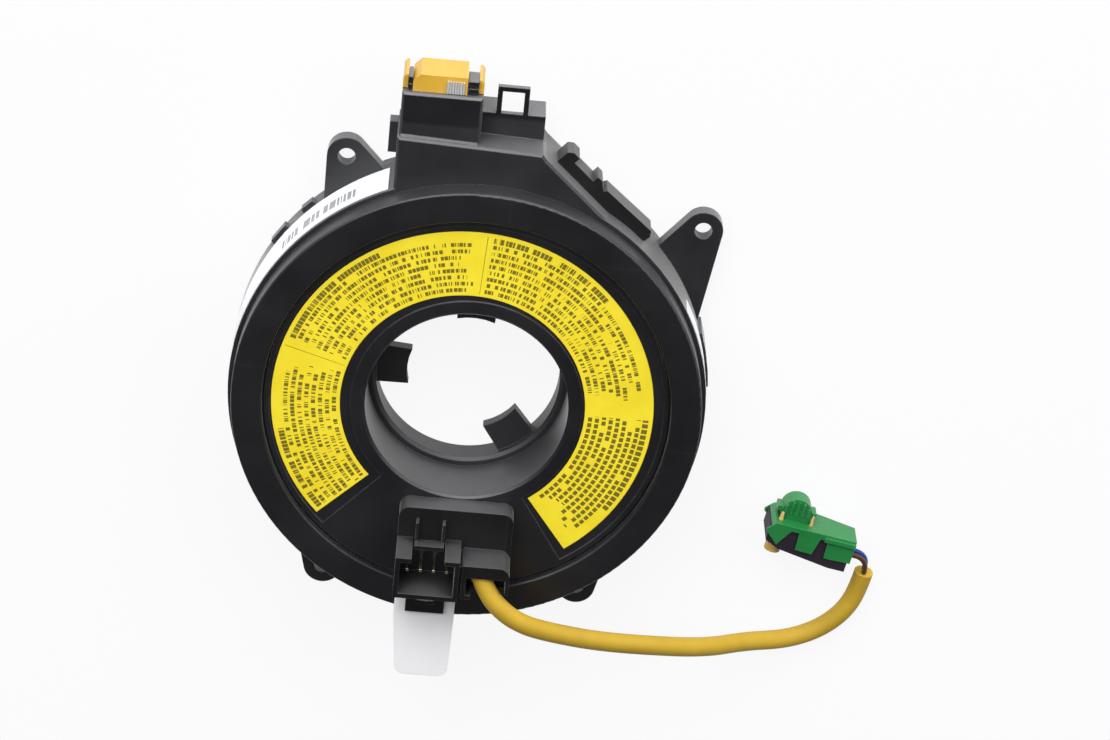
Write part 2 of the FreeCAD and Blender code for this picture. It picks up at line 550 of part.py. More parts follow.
def make_rotor_hub():
    """The rotor's face, its step under the cover, and the tube round the shaft."""
    body = make_body("rotor_hub")
    add_turn(body, "HubProfile", [
        ("hubBore", "camTall"), ("hubOuter", "camTall"), ("hubOuter", "plateBottom"),
        ("plateRadius", "plateBottom"), ("plateRadius", "plateTop"), ("faceRadius", "plateTop"),
        ("faceRadius", "rotorFace"), ("hubBore", "rotorFace")])
    recess = make_sketch(body, "LabelRecess", height="rotorFace")
    start, stop = "recessStartAngle", "(recessStartAngle + recessSweepAngle)"
    a, b = math.radians(size(start)), math.radians(size(stop))
    arcs = []
    for radius in ("recessInner", "recessOuter"):
        arc = Part.ArcOfCircle(Part.Circle(Vec(), upward, size(radius)), a, b)
        index = recess.addGeometry(arc, False)
        recess.addConstraint(Sketcher.Constraint("Coincident", index, 3, -1, 1))
        rule = recess.addConstraint(Sketcher.Constraint("Radius", index, size(radius)))
        recess.setExpression(f"Constraints[{rule}]", bound(radius))
        arcs.append(arc)
    for end, angle in ((1, start), (2, stop)):
        points = [arc.StartPoint if end == 1 else arc.EndPoint for arc in arcs]
        line = recess.addGeometry(Part.LineSegment(*points), False)
        for side, radius in enumerate(("recessInner", "recessOuter"), start=1):
            recess.addConstraint(Sketcher.Constraint("Coincident", side - 1, end, line, side))
            place = f"{radius} * cos({angle})"
            rule = recess.addConstraint(Sketcher.Constraint("DistanceX", -1, 1, line, side, size(place)))
            recess.setExpression(f"Constraints[{rule}]", bound(place))
    add_pad(body, recess, "recessDepth", "Pocket")
    round_edges(body, "edgeRound", lambda e: is_ring(e, "hubBore", "rotorFace"), "Chamfer")
    return body


def make_cancel_cam():
    """The ring on the back of the hub, with three lugs that reach into the bore."""
    body = make_body("cancel_cam_ring")
    add_turn(body, "CamProfile", [
        ("camBore", "camLow"), ("camFlange", "camLow"), ("camFlange", "camLow + camFlangeThick"),
        ("camOuter", "camLow + camFlangeThick"), ("camOuter", "cupTop"), ("hubOuter", "cupTop"),
        ("hubOuter", "camTall"), ("camBore + camBevel", "camTall"), ("camBore", "camTall - camBevel")])
    for name, middle in (("LugA", "178"), ("LugB", "-53"), ("LugC", "87")):
        lug = make_sketch(body, name, height="lugLow")
        root = [(f"(camBore + camBevel) * cos({middle} {turn} lugRootAngle)",
                 f"(camBore + camBevel) * sin({middle} {turn} lugRootAngle)") for turn in ("-", "+")]
        tip = [(f"lugReach * cos({middle} + {share} * lugHalfAngle)",
                f"lugReach * sin({middle} + {share} * lugHalfAngle)") for share in (1, 0.5, 0, -0.5, -1)]
        add_outline(lug, root + tip)
        add_pad(body, lug, "lugTall")
    return body


def make_lead_block():
    """The moulding on the rotor's face: a four-pin socket and the outlet of the lead."""
    body = make_body("lead_block")
    base = make_sketch(body, "Base", height="rotorFace")
    add_outline(base, [("leadLeft", "leadFront"), ("leadRight", "leadFront"),
                       ("leadRight", "leadBack"), ("leadLeft", "leadBack")])
    add_pad(body, base, "leadBase")
    add_box(body, "SocketTower", ("leadLeft", "leadFront", "leadTop - 1"),
            ("towerSplit", "towerBack", "towerTop"))
    add_box(body, "OutletTower", ("towerSplit + 0.6", "leadFront", "leadTop - 1"),
            ("leadRight", "outletBack", "outletTop"))
    add_box(body, "TowerJoin", ("towerSplit - 0.5", "leadFront + 0.6", "leadTop - 1"),
            ("towerSplit + 1", "outletBack - 0.6", "outletTop - 0.8"))
    round_edges(body, "cornerRound", lambda e: is_upright(e, "leadRight", "outletBack")
                or is_upright(e, "leadRight", "leadBack") or is_upright(e, "leadLeft", "leadBack"))

    add_box(body, "SocketCavity", ("leadLeft + towerWall", "leadFront + towerWall", "socketFloor"),
            ("towerSplit - towerWall", "towerBack - towerWall", "towerTop + 1"), cut=True)
    add_box(body, "LatchSlot", ("leadLeft + 3.6", "towerBack - towerWall - 0.5", "leadTop"),
            ("towerSplit - 3.5", "towerBack + 1", "towerTop + 1"), cut=True)

    # The well that holds the lead's end, open to the front and roofed at the back
    add_box(body, "OutletWell",
            ("towerSplit + 1.5 * towerWall", "leadFront + towerWall", "outletTop - wellDeep"),
            ("leadRight - 0.8", "outletBack - towerWall", "outletTop - outletRoof"), cut=True)
    add_box(body, "OutletSky", ("towerSplit + 1.5 * towerWall", "leadFront + towerWall", "outletTop - 2"),
            ("leadRight - 0.8", "outletBack - 0.35 * (outletBack - leadFront)", "outletTop + 1"), cut=True)
    add_box(body, "OutletMouth", ("towerSplit + 2.9", "leadFront - 1", "outletTop - mouthDeep"),
            ("leadRight + 1", "leadFront + 2", "outletTop + 1"), cut=True)

    # Latch frame: two rails and a bar before the socket's slot
    for name, x in (("LeftRail", "(leadLeft + 4.0)"), ("RightRail", "(towerSplit - 4.5)")):
        add_box(body, name, (x, "towerBack - 0.6", "leadTop - 0.5"),
                (f"{x} + 0.6", "towerBack + 0.28 * leadDeep", "leadTop + 2.4"))
    add_box(body, "LatchBar", ("leadLeft + 4.0", "towerBack - 0.6", "leadTop + 1.6"),
            ("towerSplit - 3.9", "towerBack + 0.4", "leadTop + 4.6"))

    # Keeper over the lock tab, and the slot that the tab's tongue slides in
    add_box(body, "Keeper", ("tabCentre - keeperWide / 2", "leadFront - keeperReach", "keeperLow"),
            ("tabCentre + keeperWide / 2", "leadFront + 0.5", "keeperLow + keeperThick"))
    add_box(body, "KeeperSlot", ("tabCentre - 2.05", "leadFront - 7.1", "keeperLow - 1"),
            ("tabCentre + 2.05", "leadFront - 6.0", "keeperLow + keeperThick + 1"), cut=True)
    add_box(body, "TabSlot", ("tabCentre - tabTongue / 2 - tabGap", "leadFront - 0.1", "tabLow - tabGap"),
            ("tabCentre + tabTongue / 2 + tabGap", "tabTongueEnd + tabGap", "tabLow + tabThick + tabGap"),
            cut=True)
    return body


def make_lead_pins():
    pins = []
    for i in range(4):
        x = f"(leadPinFirst + {i} * pinPitch)"
        pins.append(make_block(
            f"LeadPin{i}", (f"{x} - pinSide / 2", "leadPinLine - pinSide / 2", "socketFloor"),
            (f"{x} + pinSide / 2", "leadPinLine + pinSide / 2", "towerTop - pinDrop")))
    return make_group("lead_pins", pins)


def make_lock_tab():
    """The white tab that holds the rotor centred until it is pulled out."""
    body = make_body("lock_tab")
    tab = make_sketch(body, "TabOutline", height="tabLow")
    left, right = "tabCentre - tabWide / 2", "tabCentre + tabWide / 2"
    tongueLeft, tongueRight = "tabCentre - tabTongue / 2", "tabCentre + tabTongue / 2"
    add_outline(tab, [
        (tongueLeft, "tabTongueEnd"), (tongueLeft, "tabShoulder"), (left, "tabShoulder"),
        (left, "tabShoulder - tabStraight"), ("tabEndLeft", "tabEnd"), ("tabEndRight", "tabEnd"),
        (right, "tabShoulder - tabStraight"), (right, "tabShoulder"), (tongueRight, "tabShoulder"),
        (tongueRight, "tabTongueEnd")])
    add_pad(body, tab, "tabThick")
    round_edges(body, "tabRound", lambda e: is_upright(e, "tabEndLeft", "tabEnd")
                or is_upright(e, "tabEndRight", "tabEnd"))
    return body


def add_side_cut(body, name, back, corners):
    """Cut an outline of length and thickness through the plug, from its back height downward."""
    sketch = make_sketch(body, name, "XZ_Plane", height=f"0 - ({back})")
    add_outline(sketch, corners)
    return add_pad(body, sketch, "3 * plugTall", "Pocket", reverse=True)


def make_plug():
    """The plug lying on its side: dark body, coloured shell and grip, pale nose."""
    core = make_body("plug_body")
    outline = make_sketch(core, "CoreOutline", height="coreLow")
    add_outline(outline, [
        ("0 - plugHalf", "-1.6"), ("3.4 - plugHalf", "-3.2"), ("plugHalf - 4.6", "0 - plugTop - 1.6"),
        ("plugHalf - endWall", "0 - plugTop - 1.6"), ("plugHalf - endWall", "shellInside"),
        ("0 - plugHalf", "shellInside")])
    add_pad(core, outline, "coreHigh - coreLow")
    add_side_cut(core, "CoreTaper", "plugTall", [
        ("gripX + gripRadius", "0"), ("plugHalf + 1", "0"), ("plugHalf + 1", "plugTaper + 1.3 * shellWall"),
        ("gripX + gripRadius", "coreLow")])
    seat = make_sketch(core, "NoseSeat", "XZ_Plane", height="2.0")
    add_circle(seat, "noseX", "plugThick / 2", "noseRadius")
    add_pad(core, seat, "plugTall", "Pocket", reverse=True)
    gripWindow = (("gripX - gripRadius - gripGap", "shellInside - 1.3", "gripLow - gripGap"),
                  ("gripX + gripRadius + gripGap", "plugTall", "gripHigh + gripGap"))
    add_box(core, "GripPocket", *gripWindow, cut=True)

    shell = make_body("plug_shell")
    outline = make_sketch(shell, "ShellOutline", height="shellGap")
    skirt = "plugTop - shellDrop"
    add_outline(outline, [
        ("-0.6 - plugHalf", f"{skirt} + 1.0"), ("2.6 - plugHalf", f"{skirt} - 2.0"),
        ("4.6 - plugHalf", f"{skirt} + 1.4"), ("5.2 - plugHalf", "plugTop - 1.2"),
        ("7.0 - plugHalf", "plugTop - 1.2"),
        ("7.2 - plugHalf", f"{skirt} - 2.2"), ("11.2 - plugHalf", f"{skirt} - 2.4"),
        ("12.2 - plugHalf", "plugTop - 1.4"), ("14.0 - plugHalf", "plugTop - 1.4"),
        ("14.2 - plugHalf", f"{skirt} - 2.6"), ("plugHalf", f"{skirt} - 2.4"), ("plugHalf", "plugTop"),
        ("1.2 - plugHalf", "plugTop"), ("-0.6 - plugHalf", "plugTop - 1.8")])
    add_pad(shell, outline, "plugThick - shellGap")
    add_side_cut(shell, "ShellTaper", "plugTall", [
        ("gripX + gripRadius", "0"), ("plugHalf + 1", "0"), ("plugHalf + 1", "plugTaper"),
        ("gripX + gripRadius", "shellGap")])
    add_side_cut(shell, "ShellHollow", "shellInside", [
        ("-2 - plugHalf", "coreLow - 0.05"), ("gripX + gripRadius", "coreLow - 0.05"),
        ("plugHalf - endWall", "plugTaper + shellWall / 2"), ("plugHalf - endWall", "coreHigh + 0.05"),
        ("-2 - plugHalf", "coreHigh + 0.05")])
    add_box(shell, "WireMouth", ("plugHalf - 2", "0 - plugTall", "plugTaper + endWall"),
            ("plugHalf + 1", "shellInside", "plugThick - 2.2"), cut=True)
    add_box(shell, "GripWindow", *gripWindow, cut=True)
    add_box(shell, "RearRidge", ("plugHalf - 7.4", "plugTop - 1.6", "plugThick - shellGap"),
            ("plugHalf", "plugTop - 0.6", "plugThick + endWall"))

    grip = make_body("plug_grip")
    outline = make_sketch(grip, "GripOutline", height="gripLow")
    centreY = "(plugTop + gripRise)"
    add_tongue(outline, "gripX", "shellInside + gripGap", centreY, "gripRadius")
    add_pad(grip, outline, "gripTall")
    add_box(grip, "Wings", ("gripX - gripRadius - gripWing", f"{centreY} - 0.5", "gripLow + gripRib"),
            ("gripX + gripRadius + gripWing", f"{centreY} + 0.7", "gripHigh - gripRib"))
    for i in range(5):
        x = f"(gripX + ({i} - 2) * gripPitch)"
        add_box(grip, f"Rib{i}", (f"{x} - gripRib / 2", f"{centreY} - gripRib", "gripHigh - gripRib"),
                (f"{x} + gripRib / 2", f"{centreY} + sqrt(gripRadius^2 - (({i} - 2) * gripPitch)^2) - gripRib",
                 "gripHigh + gripRib"))

    nose = make_body("plug_nose")
    outline = make_sketch(nose, "NoseOutline", "XZ_Plane", height="2.0")
    add_circle(outline, "noseX", "plugThick / 2", "noseRadius")
    add_pad(nose, outline, "noseReach + shellWall")
    for piece in (core, shell, grip, nose):
        piece.setExpression("Placement.Base.x", bound("plugX"))
        piece.setExpression("Placement.Base.y", bound("plugY"))
        piece.setExpression("Placement.Rotation.Angle", bound("plugAngle"))
    return core, shell, grip, nose


def make_ribbon():
    """The flat cable: one film wound loosely, each half turn an arc that meets the next one smoothly."""
    count = int(2 * size("ribbonTurns"))
    half = size("ribbonThick") / 2
    shift = (size("ribbonOuter - ribbonInner")) / (2 * count - 1)
    low, high = size("backThick + sheetThick"), size("ribbonTop")

    def side(offset):
        arcs = []
        for i in range(count):
            centre = Vec(-shift if i % 2 == 0 else shift, 0, low)
            start = math.pi * (i % 2)
            circle = Part.Circle(centre, upward, size("ribbonInner") + 2 * shift * i + offset)
            arcs.append(Part.ArcOfCircle(circle, start, start + math.pi))
        return arcs

    inner, outer = side(-half), side(half)
    ends = [Part.LineSegment(inner[0].StartPoint, outer[0].StartPoint),
            Part.LineSegment(inner[-1].EndPoint, outer[-1].EndPoint)]
    wire = Part.Wire(Part.__sortEdges__([piece.toShape() for piece in inner + outer + ends]))
    ribbon = doc.addObject("Part::Feature", "ribbon_coil")
    ribbon.Label = "ribbon_coil"
    ribbon.Shape = Part.Face(wire).extrude(Vec(0, 0, high - low))
    return ribbon


def tube_along(name, route, radius):
    """A round cord along straight runs joined by tangent arcs."""
    points = [Vec(*p) for p in route]
    runs = [(points[i + 1] - points[i]).Length for i in range(len(points) - 1)]
    edges, start, bends = [], points[0], []
    for i in range(1, len(points) - 1):
        before, after = (points[i] - points[i - 1]).normalize(), (points[i + 1] - points[i]).normalize()
        turn = before.getAngle(after)
        reach = 0.45 * min(runs[i - 1], runs[i])
        bend = reach / math.tan(turn / 2)
        bends.append(bend)
        enter, leave = points[i] - before * reach, points[i] + after * reach
        inward = (after - before).normalize()
        middle = points[i] + inward * (bend / math.cos(turn / 2) - bend)
        edges.append(Part.LineSegment(start, enter).toShape())
        edges.append(Part.Arc(enter, middle, leave).toShape())
        start = leave
    edges.append(Part.LineSegment(start, points[-1]).toShape())
    path = Part.Wire(edges)
    ring = Part.Wire([Part.Circle(points[0], points[1] - points[0], radius).toShape()])
    tube = path.makePipeShell([ring], True, False)
    expected = math.pi * radius ** 2 * path.Length
    print(f"{name}: radii {[round(b, 1) for b in bends]}, runs {[round(r, 1) for r in runs]}")
    print(f"{name}: length {path.Length:.1f}, volume {tube.Volume:.1f} of {expected:.1f}")
    cord = doc.addObject("Part::Feature", name)
    cord.Label = name
    cord.Shape = tube
    return cord


def make_lead():
    sleeve = tube_along("cable_sleeve", [
        (5.8, -35.0, 32.9), (8.0, -39.6, 34.5), (11.8, -44.0, 35.1), (17.0, -47.9, 33.8), (23.4, -50.9, 31.0),
        (33.6, -54.1, 27.6), (45.2, -56.8, 23.2), (60.4, -60.6, 15.6), (70.6, -62.6, 7.4), (80.2, -63.3, 3.8),
        (87.5, -60.6, 2.75), (92.8, -55.7, 2.6), (95.6, -49.7, 2.7), (96.4, -43.5, 3.6)], size("sleeveRadius"))
    brown = tube_along("brown_wire", [
        (96.3, -43.3, 4.6), (96.42, -41.6, 5.0), (95.94, -40.0, 5.5), (94.92, -38.7, 6.1), (93.38, -37.8, 6.7),
        (91.5, -37.4, 7.1)], size("wireRadius"))
    blue = tube_along("blue_wire", [
        (96.5, -43.05, 2.8), (96.62, -41.35, 3.2), (96.14, -39.75, 3.7), (95.12, -38.45, 4.3),
        (93.58, -37.5, 4.8), (91.6, -37.05, 5.2)], size("wireRadius"))
    return sleeve, brown, blue


print("Plate, cover and housing")
rear_plate = make_rear_plate()
front_cover = make_front_cover()
housing = make_housing()
print("Header and sockets")
header = make_header()
header_pins = make_header_pins()
header_rails = make_header_rails()
shorting_clip = make_shorting_clip()
socket_pins = make_socket_pins()
flank_cover = make_flank_cover()
print("Rotor")
rotor_hub = make_rotor_hub()
cancel_cam = make_cancel_cam()
lead_block = make_lead_block()
lead_pins = make_lead_pins()
lock_tab = make_lock_tab()
print("Labels and film")
face_label = make_sector("face_label", "labelInner", "labelOuter", "rotorFace - recessDepth", "labelThick",
                         "labelStartAngle", "labelSweepAngle", "labelShift")
long_side_label = make_sector("long_side_label", "caseRadius", "caseRadius + sideLabelThick", "sideLabelLow",
                              "sideLabelHigh - sideLabelLow", "113.5", "56")
short_side_label = make_sector("short_side_label", "caseRadius", "caseRadius + sideLabelThick",
                               "shortLabelLow", "shortLabelTall", "6", "23")
rear_slip_sheet = make_sector("rear_slip_sheet", "collarOuter + sheetGap", "wallInside - sheetGap",
                              "backThick", "sheetThick", "0", "360")
front_slip_sheet = make_sector("front_slip_sheet", "hubOuter + sheetGap", "plateRadius - sheetGap",
                               "plateBottom - sheetThick", "sheetThick", "0", "360")
ribbon = make_ribbon()
print("Lead and plug")
lead_pieces = make_lead()
plug_pieces = make_plug()
doc.recompute()

nodes = [rear_plate, front_cover, housing, header, header_pins, header_rails, shorting_clip, socket_pins,
         flank_cover, rotor_hub, cancel_cam, lead_block, lead_pins, lock_tab, face_label, long_side_label,
         short_side_label, rear_slip_sheet, front_slip_sheet, ribbon, *lead_pieces, *plug_pieces]
for item in doc.Objects:
    if "Invalid" in item.State or "Error" in item.State:
        raise RuntimeError(f"{item.Name} failed: {item.State}")
for node in nodes:
    if node.Shape.isNull() or not node.Shape.isValid():
        raise RuntimeError(f"{node.Label} has no valid shape")

os.makedirs("parts", exist_ok=True)
for node in nodes:
    box = node.Shape.BoundBox
    print(f"{node.Label}: {len(node.Shape.Solids)} solid, {node.Shape.Volume:.1f} mm3, "
          f"x {box.XMin:.1f} {box.XMax:.1f}, y {box.YMin:.1f} {box.YMax:.1f}, z {box.ZMin:.2f} {box.ZMax:.2f}")
    node.Shape.exportStep(f"parts/{node.Label}.step")
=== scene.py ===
import bpy
import bmesh
import math
from mathutils import Matrix, Vector


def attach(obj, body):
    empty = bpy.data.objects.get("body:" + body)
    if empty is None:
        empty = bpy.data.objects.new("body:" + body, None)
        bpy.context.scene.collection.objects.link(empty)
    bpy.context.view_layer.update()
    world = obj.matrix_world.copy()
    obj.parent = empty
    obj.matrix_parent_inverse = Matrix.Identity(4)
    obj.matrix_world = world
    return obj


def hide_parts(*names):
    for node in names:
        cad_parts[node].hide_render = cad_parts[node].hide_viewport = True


# A steering clock spring lying on its back on a white table, seen from its connector side.
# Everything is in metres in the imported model's own frame: Z out of the rotor's face, Y to the connectors.

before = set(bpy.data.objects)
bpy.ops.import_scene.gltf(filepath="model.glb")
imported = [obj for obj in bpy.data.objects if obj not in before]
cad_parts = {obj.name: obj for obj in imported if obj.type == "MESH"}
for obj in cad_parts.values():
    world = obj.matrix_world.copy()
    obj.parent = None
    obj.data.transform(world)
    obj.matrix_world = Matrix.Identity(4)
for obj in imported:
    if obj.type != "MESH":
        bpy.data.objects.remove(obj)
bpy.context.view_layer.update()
mm = 0.001
squareCorners = ((-1, -1), (1, -1), (1, 1), (-1, 1))


# Camera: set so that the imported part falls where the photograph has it
cameraSetup = {
    "place": (-0.01472, 0.37000, 0.75595),
    "right": (0.99558, 0.09391, -0.00047),
    "up": (-0.08449, 0.89352, -0.44101),
    "lens": 119.53,
    "sensor": 36,
    "clip": (0.05, 20),
}


def makeCamera():
    data = bpy.data.cameras.new("camera")
    data.lens = cameraSetup["lens"]
    data.sensor_width = cameraSetup["sensor"]
    data.sensor_fit = "HORIZONTAL"
    data.clip_start, data.clip_end = cameraSetup["clip"]
    camera = bpy.data.objects.new("camera", data)
    bpy.context.collection.objects.link(camera)
    right = Vector(cameraSetup["right"]).normalized()
    up = Vector(cameraSetup["up"])
    up = (up - right * up.dot(right)).normalized()
    back = right.cross(up)
    turned = Matrix((right, up, back)).transposed().to_4x4()
    turned.translation = Vector(cameraSetup["place"])
    camera.matrix_world = turned
    bpy.context.scene.camera = camera
    print("camera set")


makeCamera()


# Lead: the same route points as the solid sleeve and wires, in millimetres
leadRoutes = {
    "cableSleeve": [
        (5.8, -35.0, 32.9), (8.0, -39.6, 34.5), (11.8, -44.0, 35.1), (17.0, -47.9, 33.8), (23.4, -50.9, 31.0),
        (33.6, -54.1, 27.6), (45.2, -56.8, 23.2), (60.4, -60.6, 15.6), (70.6, -62.6, 7.4), (80.2, -63.3, 3.8),
        (87.5, -60.6, 2.75), (92.8, -55.7, 2.6), (95.6, -49.7, 2.7), (96.4, -43.5, 3.6)],
    "brownWire": [
        (96.3, -43.3, 4.6), (96.42, -41.6, 5.0), (95.94, -40.0, 5.5), (94.92, -38.7, 6.1),
        (93.38, -37.8, 6.7), (91.5, -37.4, 7.1)],
    "blueWire": [
        (96.5, -43.05, 2.8), (96.62, -41.35, 3.2), (96.14, -39.75, 3.7), (95.12, -38.45, 4.3),
        (93.58, -37.5, 4.8), (91.6, -37.05, 5.2)],
}
leadSizes = {
    "sleeveRadius": 2.25,
    "wireRadius": 0.6,
    "sleeveLength": 0.1165,  # in metres
    "roundSteps": 8,
    "lengthSteps": 12,
}


def makeLeadCurve(name, radius, node):
    curve = bpy.data.curves.new(name, "CURVE")
    curve.dimensions = "3D"
    curve.bevel_depth = 1.0  # the thickness itself is in the points' radius
    curve.bevel_resolution = leadSizes["roundSteps"]
    curve.resolution_u = leadSizes["lengthSteps"]
    curve.use_fill_caps = True
    line = curve.splines.new("NURBS")
    route = leadRoutes[name]
    line.points.add(len(route) - 1)
    for point, place in zip(line.points, route):
        point.co = (*[v * mm for v in place], 1)
        point.radius = radius * mm
    line.order_u = 3
    line.use_endpoint_u = True
    piece = bpy.data.objects.new(name, curve)
    bpy.context.collection.objects.link(piece)
    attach(piece, "rotor")
    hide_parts(node)
    return piece


cableSleeve = makeLeadCurve("cableSleeve", leadSizes["sleeveRadius"], "cable_sleeve")
brownWire = makeLeadCurve("brownWire", leadSizes["wireRadius"], "brown_wire")
blueWire = makeLeadCurve("blueWire", leadSizes["wireRadius"], "blue_wire")


# Two cream latch tips that stand out of the plug's top beside its grip.
# Their sizes are in millimetres, in the plug's own turned frame: x along it, y out of its top, z up.
latchTips = {
    "origin": (82.2, -34.0),
    "turn": math.radians(-10),
    "foot": 3.0,
    "narrow": 0.55,
    "edge": 0.14,
    "edgeSteps": 2,
    "tips": [{"x": (-8.5, -7.4), "z": (7.4, 8.3), "top": 5.4},
             {"x": (-1.1, -0.3), "z": (7.0, 7.8), "top": 5.9}],
}


def makeLatchTips():
    look = latchTips
    mesh = bpy.data.meshes.new("plugLatchTips")
    build = bmesh.new()
    for tip in look["tips"]:
        (left, right), (low, high) = tip["x"], tip["z"]
        middle = ((left + right) / 2, (low + high) / 2)
        half = ((right - left) / 2, (high - low) / 2)
        rings = []
        for y, share in ((look["foot"], 1.0), (tip["top"], look["narrow"])):
            ring = []
            for sideX, sideZ in squareCorners:
                x = middle[0] + sideX * half[0] * share
                z = middle[1] + sideZ * half[1] * share
                ring.append(build.verts.new((x, y, z)))
            rings.append(ring)
        build.faces.new(rings[0])
        build.faces.new(rings[1][::-1])
        lower, upper = rings
        for i in range(len(squareCorners)):
            build.faces.new((lower[i], lower[i - 1], upper[i - 1], upper[i]))
    bmesh.ops.recalc_face_normals(build, faces=build.faces)
    bmesh.ops.bevel(build, geom=list(build.edges), offset=look["edge"],
                    segments=look["edgeSteps"], affect="EDGES")
    placed = Matrix.Translation((*look["origin"], 0)) @ Matrix.Rotation(look["turn"], 4, "Z")
    build.transform(Matrix.Scale(mm, 4) @ placed)
    build.to_mesh(mesh)
    build.free()
    piece = bpy.data.objects.new("plugLatchTips", mesh)
    bpy.context.collection.objects.link(piece)
    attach(piece, "rotor")
    return piece


plugLatchTips = makeLatchTips()
print("lead laid")


# Shader helpers
def newGroup(name, inputs, outputs):
    tree = bpy.data.node_groups.new(name, "ShaderNodeTree")
    for label, value in inputs:
        socket = tree.interface.new_socket(name=label, in_out="INPUT", socket_type="NodeSocketFloat")
        socket.default_value = value
    for label in outputs:
        tree.interface.new_socket(name=label, in_out="OUTPUT", socket_type="NodeSocketFloat")
    return tree, tree.nodes.new("NodeGroupInput"), tree.nodes.new("NodeGroupOutput")


def addNode(tree, kind, **values):
    node = tree.nodes.new(kind)
    for key, value in values.items():
        if key in node.inputs:
            node.inputs[key].default_value = value
        else:
            setattr(node, key, value)
    return node


def feed(tree, socket, value):  # a socket takes either another node's output or a plain value
    if isinstance(value, bpy.types.NodeSocket):
        tree.links.new(value, socket)
    else:
        socket.default_value = value


def addMath(tree, operation, *values):
    node = tree.nodes.new("ShaderNodeMath")
    node.operation = operation
    for socket, value in zip(node.inputs, values):
        feed(tree, socket, value)
    return node.outputs[0]


def addProduct(tree, first, *others):
    for value in others:
        first = addMath(tree, "MULTIPLY", first, value)
    return first


def addMix(tree, factor, a, b):  # blend of two colours by a mask
    node = tree.nodes.new("ShaderNodeMix")
    node.data_type = "RGBA"
    for socket, value in zip((node.inputs[0], node.inputs[6], node.inputs[7]), (factor, a, b)):
        feed(tree, socket, value)
    return node.outputs[2]


def addRange(tree, value, low, high, outLow=0.0, outHigh=1.0):
    node = tree.nodes.new("ShaderNodeMapRange")
    tree.links.new(value, node.inputs["Value"])
    for key, limit in (("From Min", low), ("From Max", high), ("To Min", outLow), ("To Max", outHigh)):
        node.inputs[key].default_value = limit
    return node.outputs[0]


def addBand(tree, value, low, high):  # 1 between two limits, 0 outside
    return addProduct(tree, addMath(tree, "GREATER_THAN", value, low),
                      addMath(tree, "LESS_THAN", value, high))


noiseSpan = (0.3, 0.7)  # most of a noise's values lie between these


def addTone(tree, value, low=0.0, high=1.0):  # a noise spread over its whole range
    return addRange(tree, value, *noiseSpan, low, high)


def addNoise(tree, vector, **values):
    node = addNode(tree, "ShaderNodeTexNoise", **values)
    tree.links.new(vector, node.inputs["Vector"])
    return node


def addHash(tree, a, b):  # a fixed random number for each pair of whole numbers
    pair = tree.nodes.new("ShaderNodeCombineXYZ")
    feed(tree, pair.inputs["X"], a)
    feed(tree, pair.inputs["Y"], b)
    noise = addNode(tree, "ShaderNodeTexWhiteNoise", noise_dimensions="2D")
    tree.links.new(pair.outputs[0], noise.inputs["Vector"])
    return noise.outputs["Value"]


def objectPlace(tree):
    return tree.nodes.new("ShaderNodeTexCoord").outputs["Object"]


def splitVector(tree, vector):
    split = tree.nodes.new("ShaderNodeSeparateXYZ")
    tree.links.new(vector, split.inputs[0])
    return split.outputs


def addDegrees(tree, x, y):  # angle about the axis
    return addMath(tree, "MULTIPLY", addMath(tree, "ARCTAN2", y, x), 180 / math.pi)


# Fine spark-eroded texture of a moulded plastic, with a broad change of tone
def makeGrainGroup():
    tree, start, end = newGroup("mouldGrain", [("Scale", 2500.0)], ["Height", "Tone"])
    place = objectPlace(tree)
    fine = addNoise(tree, place, Detail=3.0, Roughness=0.6)
    tree.links.new(start.outputs["Scale"], fine.inputs["Scale"])
    broad = addNoise(tree, place, Scale=55.0, Detail=4.0, Roughness=0.55)
    tree.links.new(fine.outputs["Fac"], end.inputs["Height"])
    tree.links.new(broad.outputs["Fac"], end.inputs["Tone"])
    return tree


# Outer edges rubbed paler, broken up by noise
wearShape = {"edgeRadius": 0.0004, "samples": 6, "turned": (0.99, 0.86), "patches": (0.35, 0.7)}


def makeWearGroup():
    tree, start, end = newGroup("edgeWear", [("Amount", 1.0)], ["Mask"])
    bevel = addNode(tree, "ShaderNodeBevel", samples=wearShape["samples"], Radius=wearShape["edgeRadius"])
    facing = tree.nodes.new("ShaderNodeNewGeometry")
    dot = tree.nodes.new("ShaderNodeVectorMath")
    dot.operation = "DOT_PRODUCT"
    tree.links.new(bevel.outputs["Normal"], dot.inputs[0])
    tree.links.new(facing.outputs["Normal"], dot.inputs[1])
    edge = addRange(tree, dot.outputs["Value"], *wearShape["turned"])
    patch = addNoise(tree, objectPlace(tree), Scale=420.0, Detail=3.0, Roughness=0.65)
    broken = addRange(tree, patch.outputs["Fac"], *wearShape["patches"])
    tree.links.new(addProduct(tree, edge, broken, start.outputs["Amount"]), end.inputs["Mask"])
    return tree


# Specks and short lint scattered over the faces that look up
dustShape = {"bend": 0.0016, "speck": (0.13, 0.06), "facingUp": (0.4, 0.8)}


